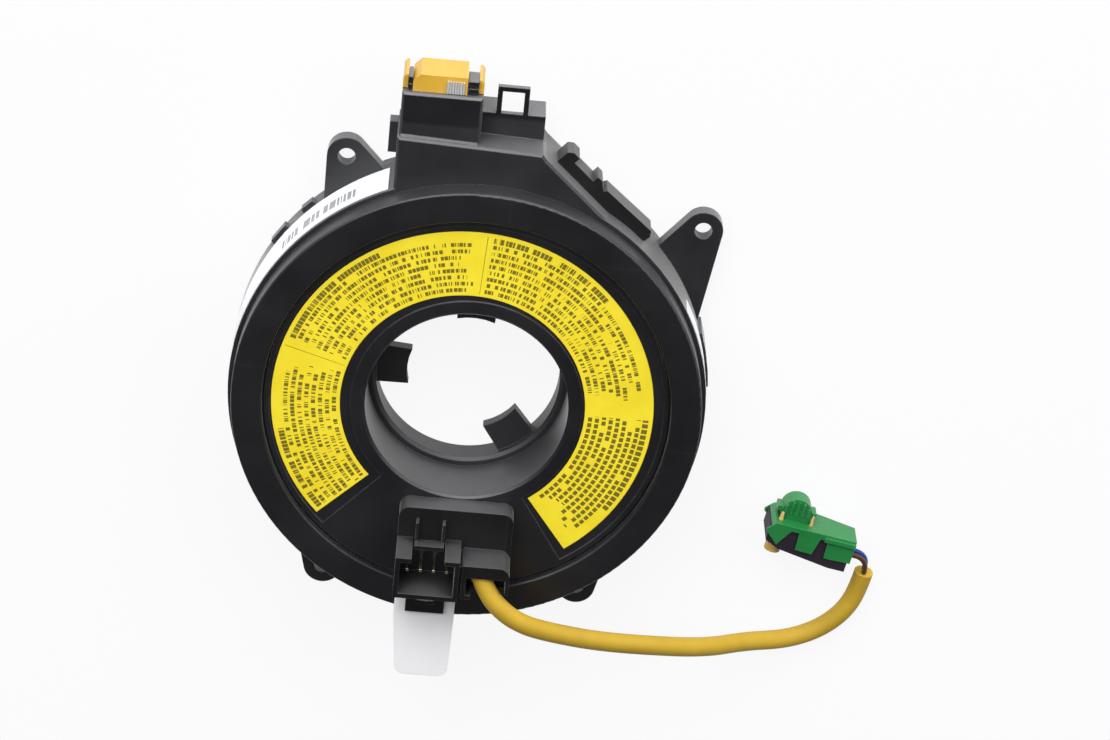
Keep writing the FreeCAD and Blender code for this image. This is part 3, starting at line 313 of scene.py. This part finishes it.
def makeDustGroup():
    tree, start, end = newGroup("dustSpecks", [("Scale", 420.0), ("Amount", 0.5)], ["Mask"])
    place = objectPlace(tree)
    warp = addNoise(tree, place, Scale=260.0, Detail=2.0)
    shifted = tree.nodes.new("ShaderNodeVectorMath")
    shifted.operation = "MULTIPLY_ADD"
    tree.links.new(warp.outputs["Color"], shifted.inputs[0])
    shifted.inputs[1].default_value = (dustShape["bend"],) * 3
    tree.links.new(place, shifted.inputs[2])
    cells = addNode(tree, "ShaderNodeTexVoronoi", Randomness=1.0)
    tree.links.new(shifted.outputs[0], cells.inputs["Vector"])
    tree.links.new(start.outputs["Scale"], cells.inputs["Scale"])
    speck = addRange(tree, cells.outputs["Distance"], *dustShape["speck"])
    split = tree.nodes.new("ShaderNodeSeparateColor")
    tree.links.new(cells.outputs["Color"], split.inputs[0])
    chosen = addMath(tree, "LESS_THAN", split.outputs[0], start.outputs["Amount"])
    facing = tree.nodes.new("ShaderNodeNewGeometry")
    upward = splitVector(tree, facing.outputs["Normal"])["Z"]
    shelf = addRange(tree, upward, *dustShape["facingUp"])
    tree.links.new(addProduct(tree, speck, chosen, shelf), end.inputs["Mask"])
    return tree


# Hairline handling marks in two directions: each lay is a turn in radians and a stretch
scratchShape = {"lays": ((0.7, (900, 14, 60)), (-0.9, (14, 760, 60))), "marks": (0.72, 0.8)}


def makeScratchGroup():
    tree, start, end = newGroup("hairlines", [("Amount", 0.5)], ["Mask"])
    place = objectPlace(tree)
    marks = []
    for turn, stretch in scratchShape["lays"]:
        lay = addNode(tree, "ShaderNodeMapping", Rotation=(0, 0, turn), Scale=stretch)
        tree.links.new(place, lay.inputs["Vector"])
        noise = addNoise(tree, lay.outputs["Vector"], Scale=1.0, Detail=1.0)
        marks.append(addRange(tree, noise.outputs["Fac"], *scratchShape["marks"]))
    both = addMath(tree, "MAXIMUM", *marks)
    tree.links.new(addProduct(tree, both, start.outputs["Amount"]), end.inputs["Mask"])
    return tree


# Painted highlight: pale colour painted on the faces that look towards the connectors, where the light falls,
# and kept out of the sockets and other hollows, where shade falls
paintedLightShape = {
    "facing": (0.5, 0.95),
    "patches": (0.25, 0.75),
    "thickness": (0.7, 1.2),
    "socketReach": 0.008,
    "openness": (0.45, 0.8),
}


def makePaintedLightGroup():
    look = paintedLightShape
    tree, start, end = newGroup("paintedLightLift", [("Amount", 0.1)], ["Mask"])
    coordinates = tree.nodes.new("ShaderNodeTexCoord")
    towards = splitVector(tree, coordinates.outputs["Normal"])["Y"]
    upper = addRange(tree, towards, *look["facing"])
    patch = addNoise(tree, coordinates.outputs["Object"], Scale=90.0, Detail=4.0, Roughness=0.6)
    uneven = addRange(tree, patch.outputs["Fac"], *look["patches"], *look["thickness"])
    hollow = addNode(tree, "ShaderNodeAmbientOcclusion", samples=4, Distance=look["socketReach"])
    openFace = addRange(tree, hollow.outputs["AO"], *look["openness"])
    # painted highlight mask: faces towards the connectors, broken into patches, and none where the hollows
    # are shaded
    paintedLightMask = addProduct(tree, upper, openFace, uneven, start.outputs["Amount"])
    tree.links.new(paintedLightMask, end.inputs["Mask"])
    return tree


grainGroup = makeGrainGroup()
wearGroup = makeWearGroup()
dustGroup = makeDustGroup()
scratchGroup = makeScratchGroup()
paintedLightGroup = makePaintedLightGroup()
print("shader groups built")


def useGroup(tree, group, **values):
    node = tree.nodes.new("ShaderNodeGroup")
    node.node_tree = group
    for key, value in values.items():
        node.inputs[key].default_value = value
    return node


def startMaterial(name):
    material = bpy.data.materials.new(name)
    material.use_nodes = True
    tree = material.node_tree
    return material, tree, tree.nodes["Principled BSDF"]


softEdge = 0.00015  # how far an edge's shading is rounded, where a look gives nothing else


def addBump(tree, shader, height, strength, depth, soft=softEdge):
    bump = addNode(tree, "ShaderNodeBump", Strength=strength, Distance=depth)
    bevel = addNode(tree, "ShaderNodeBevel", samples=4, Radius=soft)
    tree.links.new(bevel.outputs["Normal"], bump.inputs["Normal"])
    tree.links.new(height, bump.inputs["Height"])
    tree.links.new(bump.outputs["Normal"], shader.inputs["Normal"])


# Moulded plastic: two tones, rubbed edges, hairlines, dust, a fine grain, and a painted highlight on the
# faces towards the connectors
plasticShared = {
    "scratchTint": 0.35,
    "scratchRough": 0.15,
    # pale grey painted on the faces towards the connectors as a highlight
    "paintedLightColour": (0.40, 0.40, 0.42, 1),
    "dustColour": (0.40, 0.39, 0.38, 1),
    "dustRough": 0.4,
    "roughSpread": (-0.05, 0.06),
    "polish": 0.22,
    "bloomRough": 0.32,
    "grainDepth": 0.00004,
}


def makePlastic(name, look):
    shared = plasticShared
    material, tree, shader = startMaterial(name)
    grain = useGroup(tree, grainGroup, Scale=look["grainScale"])
    wear = useGroup(tree, wearGroup, Amount=look["wear"]).outputs["Mask"]
    marks = useGroup(tree, scratchGroup, Amount=look["scratches"]).outputs["Mask"]
    dust = useGroup(tree, dustGroup, Scale=look["dustScale"], Amount=look["dust"]).outputs["Mask"]
    paintedLight = useGroup(tree, paintedLightGroup, Amount=look.get("paintedLight", 0.0)).outputs["Mask"]
    worn = (*look["worn"], 1)
    colour = addMix(tree, addTone(tree, grain.outputs["Tone"]), (*look["dark"], 1), (*look["light"], 1))
    colour = addMix(tree, wear, colour, worn)
    colour = addMix(tree, addProduct(tree, marks, shared["scratchTint"]), colour, worn)
    # painted highlight: the faces towards the connectors are lightened towards pale grey, as if lit
    colour = addMix(tree, paintedLight, colour, shared["paintedLightColour"])
    colour = addMix(tree, dust, colour, shared["dustColour"])
    tree.links.new(colour, shader.inputs["Base Color"])
    smoother, rougher = shared["roughSpread"]
    rough = addTone(tree, grain.outputs["Tone"], look["rough"] + smoother, look["rough"] + rougher)
    rough = addMath(tree, "ADD", rough, addProduct(tree, marks, shared["scratchRough"]))
    if "smoothBeyond" in look:  # the connector shroud is polished, the rest of the moulding spark-eroded
        along = splitVector(tree, objectPlace(tree))["Y"]
        shroud = addRange(tree, along, look["smoothBeyond"], look["smoothBeyond"] + mm)
        rough = addMath(tree, "SUBTRACT", rough, addProduct(tree, shroud, shared["polish"]))
    rough = addMath(tree, "ADD", rough, addProduct(tree, dust, shared["dustRough"]))
    tree.links.new(rough, shader.inputs["Roughness"])
    shader.inputs["Specular IOR Level"].default_value = look["gloss"]
    shader.inputs["Sheen Weight"].default_value = look.get("bloom", 0.0)  # pale bloom at a low angle
    shader.inputs["Sheen Roughness"].default_value = shared["bloomRough"]
    addBump(tree, shader, grain.outputs["Height"], look["bump"], shared["grainDepth"],
            look.get("soft", softEdge))
    return material


# "soft" is the reach of an edge's rounded shading in metres, and "smoothBeyond" the Y where the polish
# starts. Each look's painted-highlight amount sets how strongly its faces towards the connectors are
# lightened, standing in for light.
plasticLooks = {
    "caseBlack": {"dark": (0.002, 0.002, 0.004), "light": (0.007, 0.007, 0.010), "worn": (0.12, 0.12, 0.13),
                  "rough": 0.48, "gloss": 0.8, "bloom": 0.60, "paintedLight": 0.16, "smoothBeyond": 64.5 * mm,
                  "grainScale": 2600.0, "bump": 0.5, "wear": 0.6, "soft": 0.0003, "scratches": 0.12,
                  "dustScale": 150.0, "dust": 0.05},
    "coverBlack": {"dark": (0.002, 0.002, 0.004), "light": (0.005, 0.005, 0.007),
                   "worn": (0.08, 0.08, 0.09), "rough": 0.42, "gloss": 0.7, "bloom": 0.14, "paintedLight": 0.03,
                   "grainScale": 2800.0, "bump": 0.35, "wear": 0.4, "soft": 0.0003, "scratches": 0.12,
                   "dustScale": 150.0, "dust": 0.05},
    "rotorBlack": {"dark": (0.002, 0.002, 0.004), "light": (0.005, 0.005, 0.007),
                   "worn": (0.08, 0.08, 0.09), "rough": 0.42, "gloss": 0.7, "bloom": 0.30, "paintedLight": 0.10,
                   "grainScale": 3000.0, "bump": 0.3, "wear": 0.4, "soft": 0.0003, "scratches": 0.12,
                   "dustScale": 190.0, "dust": 0.03},
    "leadBlack": {"dark": (0.0008, 0.0008, 0.0015), "light": (0.002, 0.002, 0.003),
                  "worn": (0.09, 0.09, 0.10), "rough": 0.44, "gloss": 0.55, "bloom": 0.28, "paintedLight": 0.14,
                  "grainScale": 3000.0, "bump": 0.3, "wear": 0.5, "soft": 0.0002, "scratches": 0.12,
                  "dustScale": 190.0, "dust": 0.02},
    "camBlack": {"dark": (0.003, 0.003, 0.005), "light": (0.008, 0.008, 0.011), "worn": (0.09, 0.09, 0.10),
                 "rough": 0.48, "gloss": 0.8, "bloom": 0.15, "paintedLight": 0.03, "grainScale": 2200.0,
                 "bump": 0.4, "wear": 0.7, "soft": 0.0003, "scratches": 0.6, "dustScale": 170.0,
                 "dust": 0.05},
    "headerAmber": {"dark": (0.50, 0.28, 0.022), "light": (0.62, 0.37, 0.042), "worn": (0.85, 0.62, 0.20),
                    "rough": 0.36, "gloss": 0.5, "grainScale": 1800.0, "bump": 0.15, "wear": 0.6,
                    "scratches": 0.2, "dustScale": 300.0, "dust": 0.01},
    "tabWhite": {"dark": (0.86, 0.85, 0.88), "light": (0.92, 0.91, 0.94), "worn": (0.86, 0.86, 0.88),
                 "rough": 0.45, "gloss": 0.4, "grainScale": 1600.0, "bump": 0.2, "wear": 0.3,
                 "scratches": 0.4, "dustScale": 260.0, "dust": 0.01},
    "plugDark": {"dark": (0.012, 0.008, 0.016), "light": (0.022, 0.014, 0.026), "worn": (0.07, 0.06, 0.07),
                 "rough": 0.62, "gloss": 0.3, "grainScale": 2600.0, "bump": 0.25, "wear": 0.5,
                 "scratches": 0.3, "dustScale": 240.0, "dust": 0.01},
    "plugGreen": {"dark": (0.009, 0.150, 0.032), "light": (0.015, 0.205, 0.050), "worn": (0.08, 0.36, 0.14),
                  "rough": 0.38, "gloss": 0.5, "grainScale": 2400.0, "bump": 0.2, "wear": 0.6,
                  "scratches": 0.3, "dustScale": 260.0, "dust": 0.0},
    "plugCream": {"dark": (0.55, 0.36, 0.10), "light": (0.66, 0.47, 0.16), "worn": (0.8, 0.64, 0.35),
                  "rough": 0.45, "gloss": 0.4, "grainScale": 2000.0, "bump": 0.2, "wear": 0.3,
                  "scratches": 0.2, "dustScale": 260.0, "dust": 0.0},
    "sleeveMustard": {"dark": (0.42, 0.265, 0.020), "light": (0.53, 0.345, 0.030), "worn": (0.7, 0.5, 0.10),
                      "rough": 0.58, "gloss": 0.3, "grainScale": 900.0, "bump": 0.3, "wear": 0.0,
                      "scratches": 0.2, "dustScale": 260.0, "dust": 0.0},
    "wireBrown": {"dark": (0.055, 0.020, 0.010), "light": (0.10, 0.040, 0.018), "worn": (0.2, 0.12, 0.08),
                  "rough": 0.42, "gloss": 0.4, "grainScale": 1500.0, "bump": 0.15, "wear": 0.0,
                  "scratches": 0.1, "dustScale": 260.0, "dust": 0.0},
    "wireBlue": {"dark": (0.012, 0.035, 0.22), "light": (0.025, 0.07, 0.34), "worn": (0.2, 0.25, 0.5),
                 "rough": 0.42, "gloss": 0.4, "grainScale": 1500.0, "bump": 0.15, "wear": 0.0,
                 "scratches": 0.1, "dustScale": 260.0, "dust": 0.0},
    "slipFilm": {"dark": (0.030, 0.030, 0.030), "light": (0.045, 0.045, 0.044), "worn": (0.10, 0.10, 0.10),
                 "rough": 0.30, "gloss": 0.5, "grainScale": 800.0, "bump": 0.1, "wear": 0.0,
                 "scratches": 0.4, "dustScale": 260.0, "dust": 0.01},
    "ribbonFilm": {"dark": (0.030, 0.022, 0.014), "light": (0.045, 0.034, 0.022),
                   "worn": (0.10, 0.08, 0.06), "rough": 0.3, "gloss": 0.5, "grainScale": 900.0, "bump": 0.1,
                   "wear": 0.0, "scratches": 0.4, "dustScale": 260.0, "dust": 0.0},
}
materials = {name: makePlastic(name, look) for name, look in plasticLooks.items()}


# Stamped metal with a drawn grain: tinned brass pins, and the paler shorting clip
metalLooks = {
    "pinMetal": {"dark": (0.66, 0.58, 0.42, 1), "light": (0.82, 0.76, 0.62, 1), "stretch": (3000, 3000, 120),
                 "metal": 1.0, "rough": (0.22, 0.36)},
    "clipTin": {"dark": (0.62, 0.61, 0.60, 1), "light": (0.74, 0.73, 0.72, 1), "stretch": (1500, 90, 300),
                "metal": 0.45, "rough": (0.34, 0.44)},
}
metalGrain = {"strength": 0.1, "depth": 0.00002}


def makeMetal(name, look):
    material, tree, shader = startMaterial(name)
    lay = addNode(tree, "ShaderNodeMapping", Scale=look["stretch"])
    tree.links.new(objectPlace(tree), lay.inputs["Vector"])
    grain = addNoise(tree, lay.outputs["Vector"], Scale=1.0, Detail=2.0)
    tone = addTone(tree, grain.outputs["Fac"])
    tree.links.new(addMix(tree, tone, look["dark"], look["light"]), shader.inputs["Base Color"])
    tree.links.new(addTone(tree, grain.outputs["Fac"], *look["rough"]), shader.inputs["Roughness"])
    shader.inputs["Metallic"].default_value = look["metal"]
    addBump(tree, shader, grain.outputs["Fac"], metalGrain["strength"], metalGrain["depth"])
    return material


materials.update({name: makeMetal(name, look) for name, look in metalLooks.items()})


# Label stock: a faintly mottled sheet with a fine tooth
labelTooth = {"grainScale": 1800.0, "depth": 0.00003}


def addPaper(tree, place, look):
    mottle = addNoise(tree, place, Scale=look["mottleScale"], Detail=3.0).outputs["Fac"]
    return mottle, addMix(tree, addTone(tree, mottle), *look["paper"])


def finishLabel(tree, shader, mottle, colour, look):
    tree.links.new(colour, shader.inputs["Base Color"])
    tree.links.new(addTone(tree, mottle, *look["rough"]), shader.inputs["Roughness"])
    shader.inputs["Specular IOR Level"].default_value = look["gloss"]
    grain = useGroup(tree, grainGroup, Scale=labelTooth["grainScale"])
    addBump(tree, shader, grain.outputs["Height"], look["bump"], labelTooth["depth"])


# Face label: a yellow sheet with four fields of plain ticks and squares in curved rows, and no lettering.
# Angles are in degrees about the label's centre, and each field's rows run from "start" down to "stop".
# A "bare" value is the share of ticks, clusters or squares that are left out.
faceLabelPrint = {
    "centreX": -0.9 * mm,
    "openAngle": -90.0,  # the label's gap, where the lead block stands
    "rowStart": 27.9 * mm,
    "rowStep": 1.55 * mm,
    "rowCount": 9,
    "headRow": 8,
    "rowInk": (0.19, 0.79),
    "headInk": (0.05, 0.90),
    "tickPitch": 0.29 * mm,
    "tickBare": 0.36,
    "headTickBare": 0.14,
    "clusterPitch": 0.93 * mm,
    "clusterBare": 0.12,
    "clusterGap": 0.14,
    "squarePitch": 1.42 * mm,
    "squareBare": 0.08,
    "squareGap": 0.26,
    "ragged": 6.0,
    "seeds": {"clusters": 31.0, "squares": 5.0, "ends": 60.0},
    "fields": [
        {"start": 223.0, "stop": 167.0, "headStop": 193.0, "squares": False},
        {"start": 161.0, "stop": 90.0, "headStop": 121.0, "squares": False},
        {"start": 85.0, "stop": 7.0, "headStop": 44.0, "squares": False},
        {"start": 0.5, "stop": -48.0, "headStop": -34.0, "squares": True}],
    "rules": (164.0, 87.0),
    "ruleHalf": 0.10,
    "paper": ((0.80, 0.63, 0.022, 1), (0.86, 0.70, 0.032, 1)),
    "mottleScale": 160.0,
    "ink": (0.055, 0.042, 0.012, 1),
    "inkStrength": 0.86,
    "rough": (0.48, 0.58),
    "gloss": 0.3,
    "bump": 0.1,
}


def addTicks(tree, along, number, isHead):  # upright ticks in short clusters, closer together in the head row
    look = faceLabelPrint
    bare = addMath(tree, "MULTIPLY_ADD", isHead, look["headTickBare"] - look["tickBare"], look["tickBare"])
    tick = addMath(tree, "FLOOR", addMath(tree, "DIVIDE", along, look["tickPitch"]))
    inked = addMath(tree, "GREATER_THAN", addHash(tree, tick, number), bare)
    cluster = addMath(tree, "DIVIDE", along, look["clusterPitch"])
    draw = addHash(tree, addMath(tree, "FLOOR", cluster),
                   addMath(tree, "ADD", number, look["seeds"]["clusters"]))
    present = addMath(tree, "GREATER_THAN", draw, look["clusterBare"])
    apart = addMath(tree, "GREATER_THAN", addMath(tree, "FRACT", cluster), look["clusterGap"])
    return addProduct(tree, inked, present, apart)


def addSquares(tree, along, number):  # plain squares, each row shifted by its own amount
    look = faceLabelPrint
    shift = addHash(tree, number, look["seeds"]["squares"])
    square = addMath(tree, "ADD", addMath(tree, "DIVIDE", along, look["squarePitch"]), shift)
    inked = addMath(tree, "GREATER_THAN", addMath(tree, "FRACT", square), look["squareGap"])
    draw = addHash(tree, addMath(tree, "FLOOR", square), number)
    return addProduct(tree, inked, addMath(tree, "GREATER_THAN", draw, look["squareBare"]))


def makeFaceLabel():
    look = faceLabelPrint
    material, tree, shader = startMaterial("faceLabelYellow")
    place = objectPlace(tree)
    centred = addNode(tree, "ShaderNodeMapping", Location=(-look["centreX"], 0, 0))
    tree.links.new(place, centred.inputs["Vector"])
    split = splitVector(tree, centred.outputs["Vector"])
    x, y = split["X"], split["Y"]
    radius = addMath(tree, "SQRT", addMath(tree, "ADD", addProduct(tree, x, x), addProduct(tree, y, y)))
    turned = addDegrees(tree, x, y)
    wrap = addProduct(tree, addMath(tree, "LESS_THAN", turned, look["openAngle"]), 360.0)
    angle = addMath(tree, "ADD", turned, wrap)
    row = addMath(tree, "DIVIDE", addMath(tree, "SUBTRACT", radius, look["rowStart"]), look["rowStep"])
    number = addMath(tree, "FLOOR", row)
    isHead = addMath(tree, "COMPARE", number, float(look["headRow"]), 0.5)
    inRows = addBand(tree, number, -0.5, look["rowCount"] - 0.5)
    within = addMath(tree, "FRACT", row)
    headLine = addProduct(tree, isHead, addBand(tree, within, *look["headInk"]))
    line = addMath(tree, "MAXIMUM", addBand(tree, within, *look["rowInk"]), headLine)
    # length along the middle of each row, so that a row's ticks stand straight
    fromFirst = addProduct(tree, addMath(tree, "ADD", number, 0.5), look["rowStep"])
    middle = addMath(tree, "ADD", fromFirst, look["rowStart"])
    along = addProduct(tree, angle, math.pi / 180, middle)
    ticks = addTicks(tree, along, number, isHead)
    squares = addSquares(tree, along, number)
    pattern = None
    for order, field in enumerate(look["fields"]):
        ragged = addProduct(tree, addHash(tree, number, look["seeds"]["ends"] + order), look["ragged"])
        stop = addMath(tree, "ADD", ragged, field["stop"])
        headStop = addMath(tree, "MULTIPLY_ADD", isHead, field["headStop"] - look["openAngle"],
                           look["openAngle"])
        stop = addMath(tree, "MAXIMUM", stop, headStop)
        begun = addMath(tree, "LESS_THAN", angle, field["start"])
        notEnded = addMath(tree, "GREATER_THAN", angle, stop)
        part = addProduct(tree, begun, notEnded, squares if field["squares"] else ticks)
        pattern = part if pattern is None else addMath(tree, "MAXIMUM", pattern, part)
    ink = addProduct(tree, pattern, line, inRows)
    for rule in look["rules"]:
        bar = addBand(tree, angle, rule - look["ruleHalf"], rule + look["ruleHalf"])
        ink = addMath(tree, "MAXIMUM", ink, addProduct(tree, bar, inRows))
    mottle, colour = addPaper(tree, place, look)
    colour = addMix(tree, addProduct(tree, ink, look["inkStrength"]), colour, look["ink"])
    finishLabel(tree, shader, mottle, colour, look)
    return material


materials["faceLabelYellow"] = makeFaceLabel()


# Side labels: white, with plain grey bars across the long one
sideLabelPrint = {
    "paper": ((0.84, 0.86, 0.90, 1), (0.89, 0.91, 0.94, 1)),
    "mottleScale": 180.0,
    "ink": (0.07, 0.07, 0.09, 1),
    "inkStrength": 0.75,
    "barAngle": 0.36,
    "barBare": 0.38,
    "barSeed": 7.0,
    "band": (10.6 * mm, 14.9 * mm),
    "arc": (122, 144.5),
    "rough": (0.4, 0.5),
    "gloss": 0.5,
    "bump": 0.08,
}


def makeSideLabel(name, printed):
    look = sideLabelPrint
    material, tree, shader = startMaterial(name)
    place = objectPlace(tree)
    mottle, colour = addPaper(tree, place, look)
    if printed:
        split = splitVector(tree, place)
        angle = addDegrees(tree, split["X"], split["Y"])
        bar = addMath(tree, "FLOOR", addMath(tree, "DIVIDE", angle, look["barAngle"]))
        bars = addMath(tree, "GREATER_THAN", addHash(tree, bar, look["barSeed"]), look["barBare"])
        upright = addBand(tree, split["Z"], *look["band"])
        around = addBand(tree, angle, *look["arc"])
        ink = addProduct(tree, bars, upright, around, look["inkStrength"])
        colour = addMix(tree, ink, colour, look["ink"])
    finishLabel(tree, shader, mottle, colour, look)
    return material


materials["longLabelWhite"] = makeSideLabel("longLabelWhite", True)
materials["shortLabelWhite"] = makeSideLabel("shortLabelWhite", False)
print("materials made")


nodeFinishes = {
    "rear_plate": "caseBlack", "stator_housing": "caseBlack", "front_cover": "coverBlack",
    "flank_cover": "leadBlack", "header_shell": "headerAmber", "header_rails": "caseBlack",
    "header_pins": "pinMetal", "socket_pins": "pinMetal", "shorting_clip": "clipTin", "lead_pins": "pinMetal",
    "long_side_label": "longLabelWhite", "short_side_label": "shortLabelWhite",
    "ribbon_coil": "ribbonFilm", "rear_slip_sheet": "slipFilm", "front_slip_sheet": "slipFilm",
    "rotor_hub": "rotorBlack", "cancel_cam_ring": "camBlack", "lead_block": "leadBlack",
    "face_label": "faceLabelYellow", "plug_body": "plugDark", "plug_shell": "plugGreen",
    "plug_grip": "plugGreen", "plug_nose": "plugCream", "lock_tab": "tabWhite",
}


def paint(piece, name):
    piece.data.materials.clear()
    piece.data.materials.append(materials[name])


for nodeName, finish in nodeFinishes.items():
    paint(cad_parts[nodeName], finish)
paint(cableSleeve, "sleeveMustard")
paint(brownWire, "wireBrown")
paint(blueWire, "wireBlue")
paint(plugLatchTips, "plugCream")
print("nodes painted")


# Table and light: a large soft light over the connector side, as over an upright part from above
studio = {
    "tableSize": 4.0,
    "tableLow": -0.0002,  # just under the part's back face
    "tableColour": (0.93, 0.93, 0.94, 1),
    "tableWhite": (0.975, 0.975, 0.985, 1),
    "tableShare": 0.92,  # how much of the table is plain white to the camera, the rest takes the shadow
    "tableRough": 0.8,
    "lamps": {
        "softboxAbove": {"place": (0.0, 0.95, 0.38), "size": 0.9, "power": 9.0},
        "fillLeft": {"place": (-0.35, 0.65, 0.85), "size": 0.7, "power": 7.5},
        "fillRight": {"place": (0.7, 0.45, 0.6), "size": 0.5, "power": 3.0},
    },
    "roomDark": 0.10,
    "roomLight": 0.75,
    "roomSpan": (-0.2, 0.9),  # from the lead's side to the connectors' side
}


def makeTable():
    half = studio["tableSize"] / 2
    mesh = bpy.data.meshes.new("table")
    build = bmesh.new()
    build.faces.new([build.verts.new((x * half, y * half, studio["tableLow"])) for x, y in squareCorners])
    build.to_mesh(mesh)
    build.free()
    table = bpy.data.objects.new("table", mesh)
    bpy.context.collection.objects.link(table)
    material, tree, shader = startMaterial("tableWhite")
    shader.inputs["Base Color"].default_value = studio["tableColour"]
    shader.inputs["Roughness"].default_value = studio["tableRough"]
    seen = tree.nodes.new("ShaderNodeLightPath")
    lit = addNode(tree, "ShaderNodeEmission", Strength=1.0, Color=studio["tableWhite"])
    blend = tree.nodes.new("ShaderNodeMixShader")
    rays = addMath(tree, "MAXIMUM", seen.outputs["Is Camera Ray"], seen.outputs["Is Transmission Ray"])
    rays = addMath(tree, "MAXIMUM", rays, seen.outputs["Is Glossy Ray"])
    tree.links.new(addProduct(tree, rays, studio["tableShare"]), blend.inputs[0])
    tree.links.new(shader.outputs[0], blend.inputs[1])
    tree.links.new(lit.outputs[0], blend.inputs[2])
    tree.links.new(blend.outputs[0], tree.nodes["Material Output"].inputs["Surface"])
    mesh.materials.append(material)


def makeLamps():
    for name, lamp in studio["lamps"].items():
        data = bpy.data.lights.new(name, "AREA")
        data.shape = "SQUARE"
        data.size = lamp["size"]
        data.energy = lamp["power"]
        light = bpy.data.objects.new(name, data)
        bpy.context.collection.objects.link(light)
        place = Vector(lamp["place"])
        aimed = (-place).to_track_quat("-Z", "Y").to_matrix().to_4x4()
        light.matrix_world = Matrix.Translation(place) @ aimed


# The room is brighter on the connector side, and plain white behind the object for the camera
def makeRoom():
    world = bpy.data.worlds.new("room")
    bpy.context.scene.world = world
    world.use_nodes = True
    tree = world.node_tree
    light = tree.nodes["Background"]
    light.inputs["Color"].default_value = (1, 1, 1, 1)
    towards = splitVector(tree, tree.nodes.new("ShaderNodeTexCoord").outputs["Generated"])["Y"]
    glow = addRange(tree, towards, *studio["roomSpan"], studio["roomDark"], studio["roomLight"])
    tree.links.new(glow, light.inputs["Strength"])
    seen = tree.nodes.new("ShaderNodeLightPath")
    white = addNode(tree, "ShaderNodeBackground", Strength=1.0, Color=(1, 1, 1, 1))
    blend = tree.nodes.new("ShaderNodeMixShader")
    tree.links.new(seen.outputs["Is Camera Ray"], blend.inputs[0])
    tree.links.new(light.outputs[0], blend.inputs[1])
    tree.links.new(white.outputs[0], blend.inputs[2])
    tree.links.new(blend.outputs[0], tree.nodes["World Output"].inputs["Surface"])


makeTable()
makeLamps()
makeRoom()
bpy.context.scene.view_settings.view_transform = "Standard"
print("table and light set")
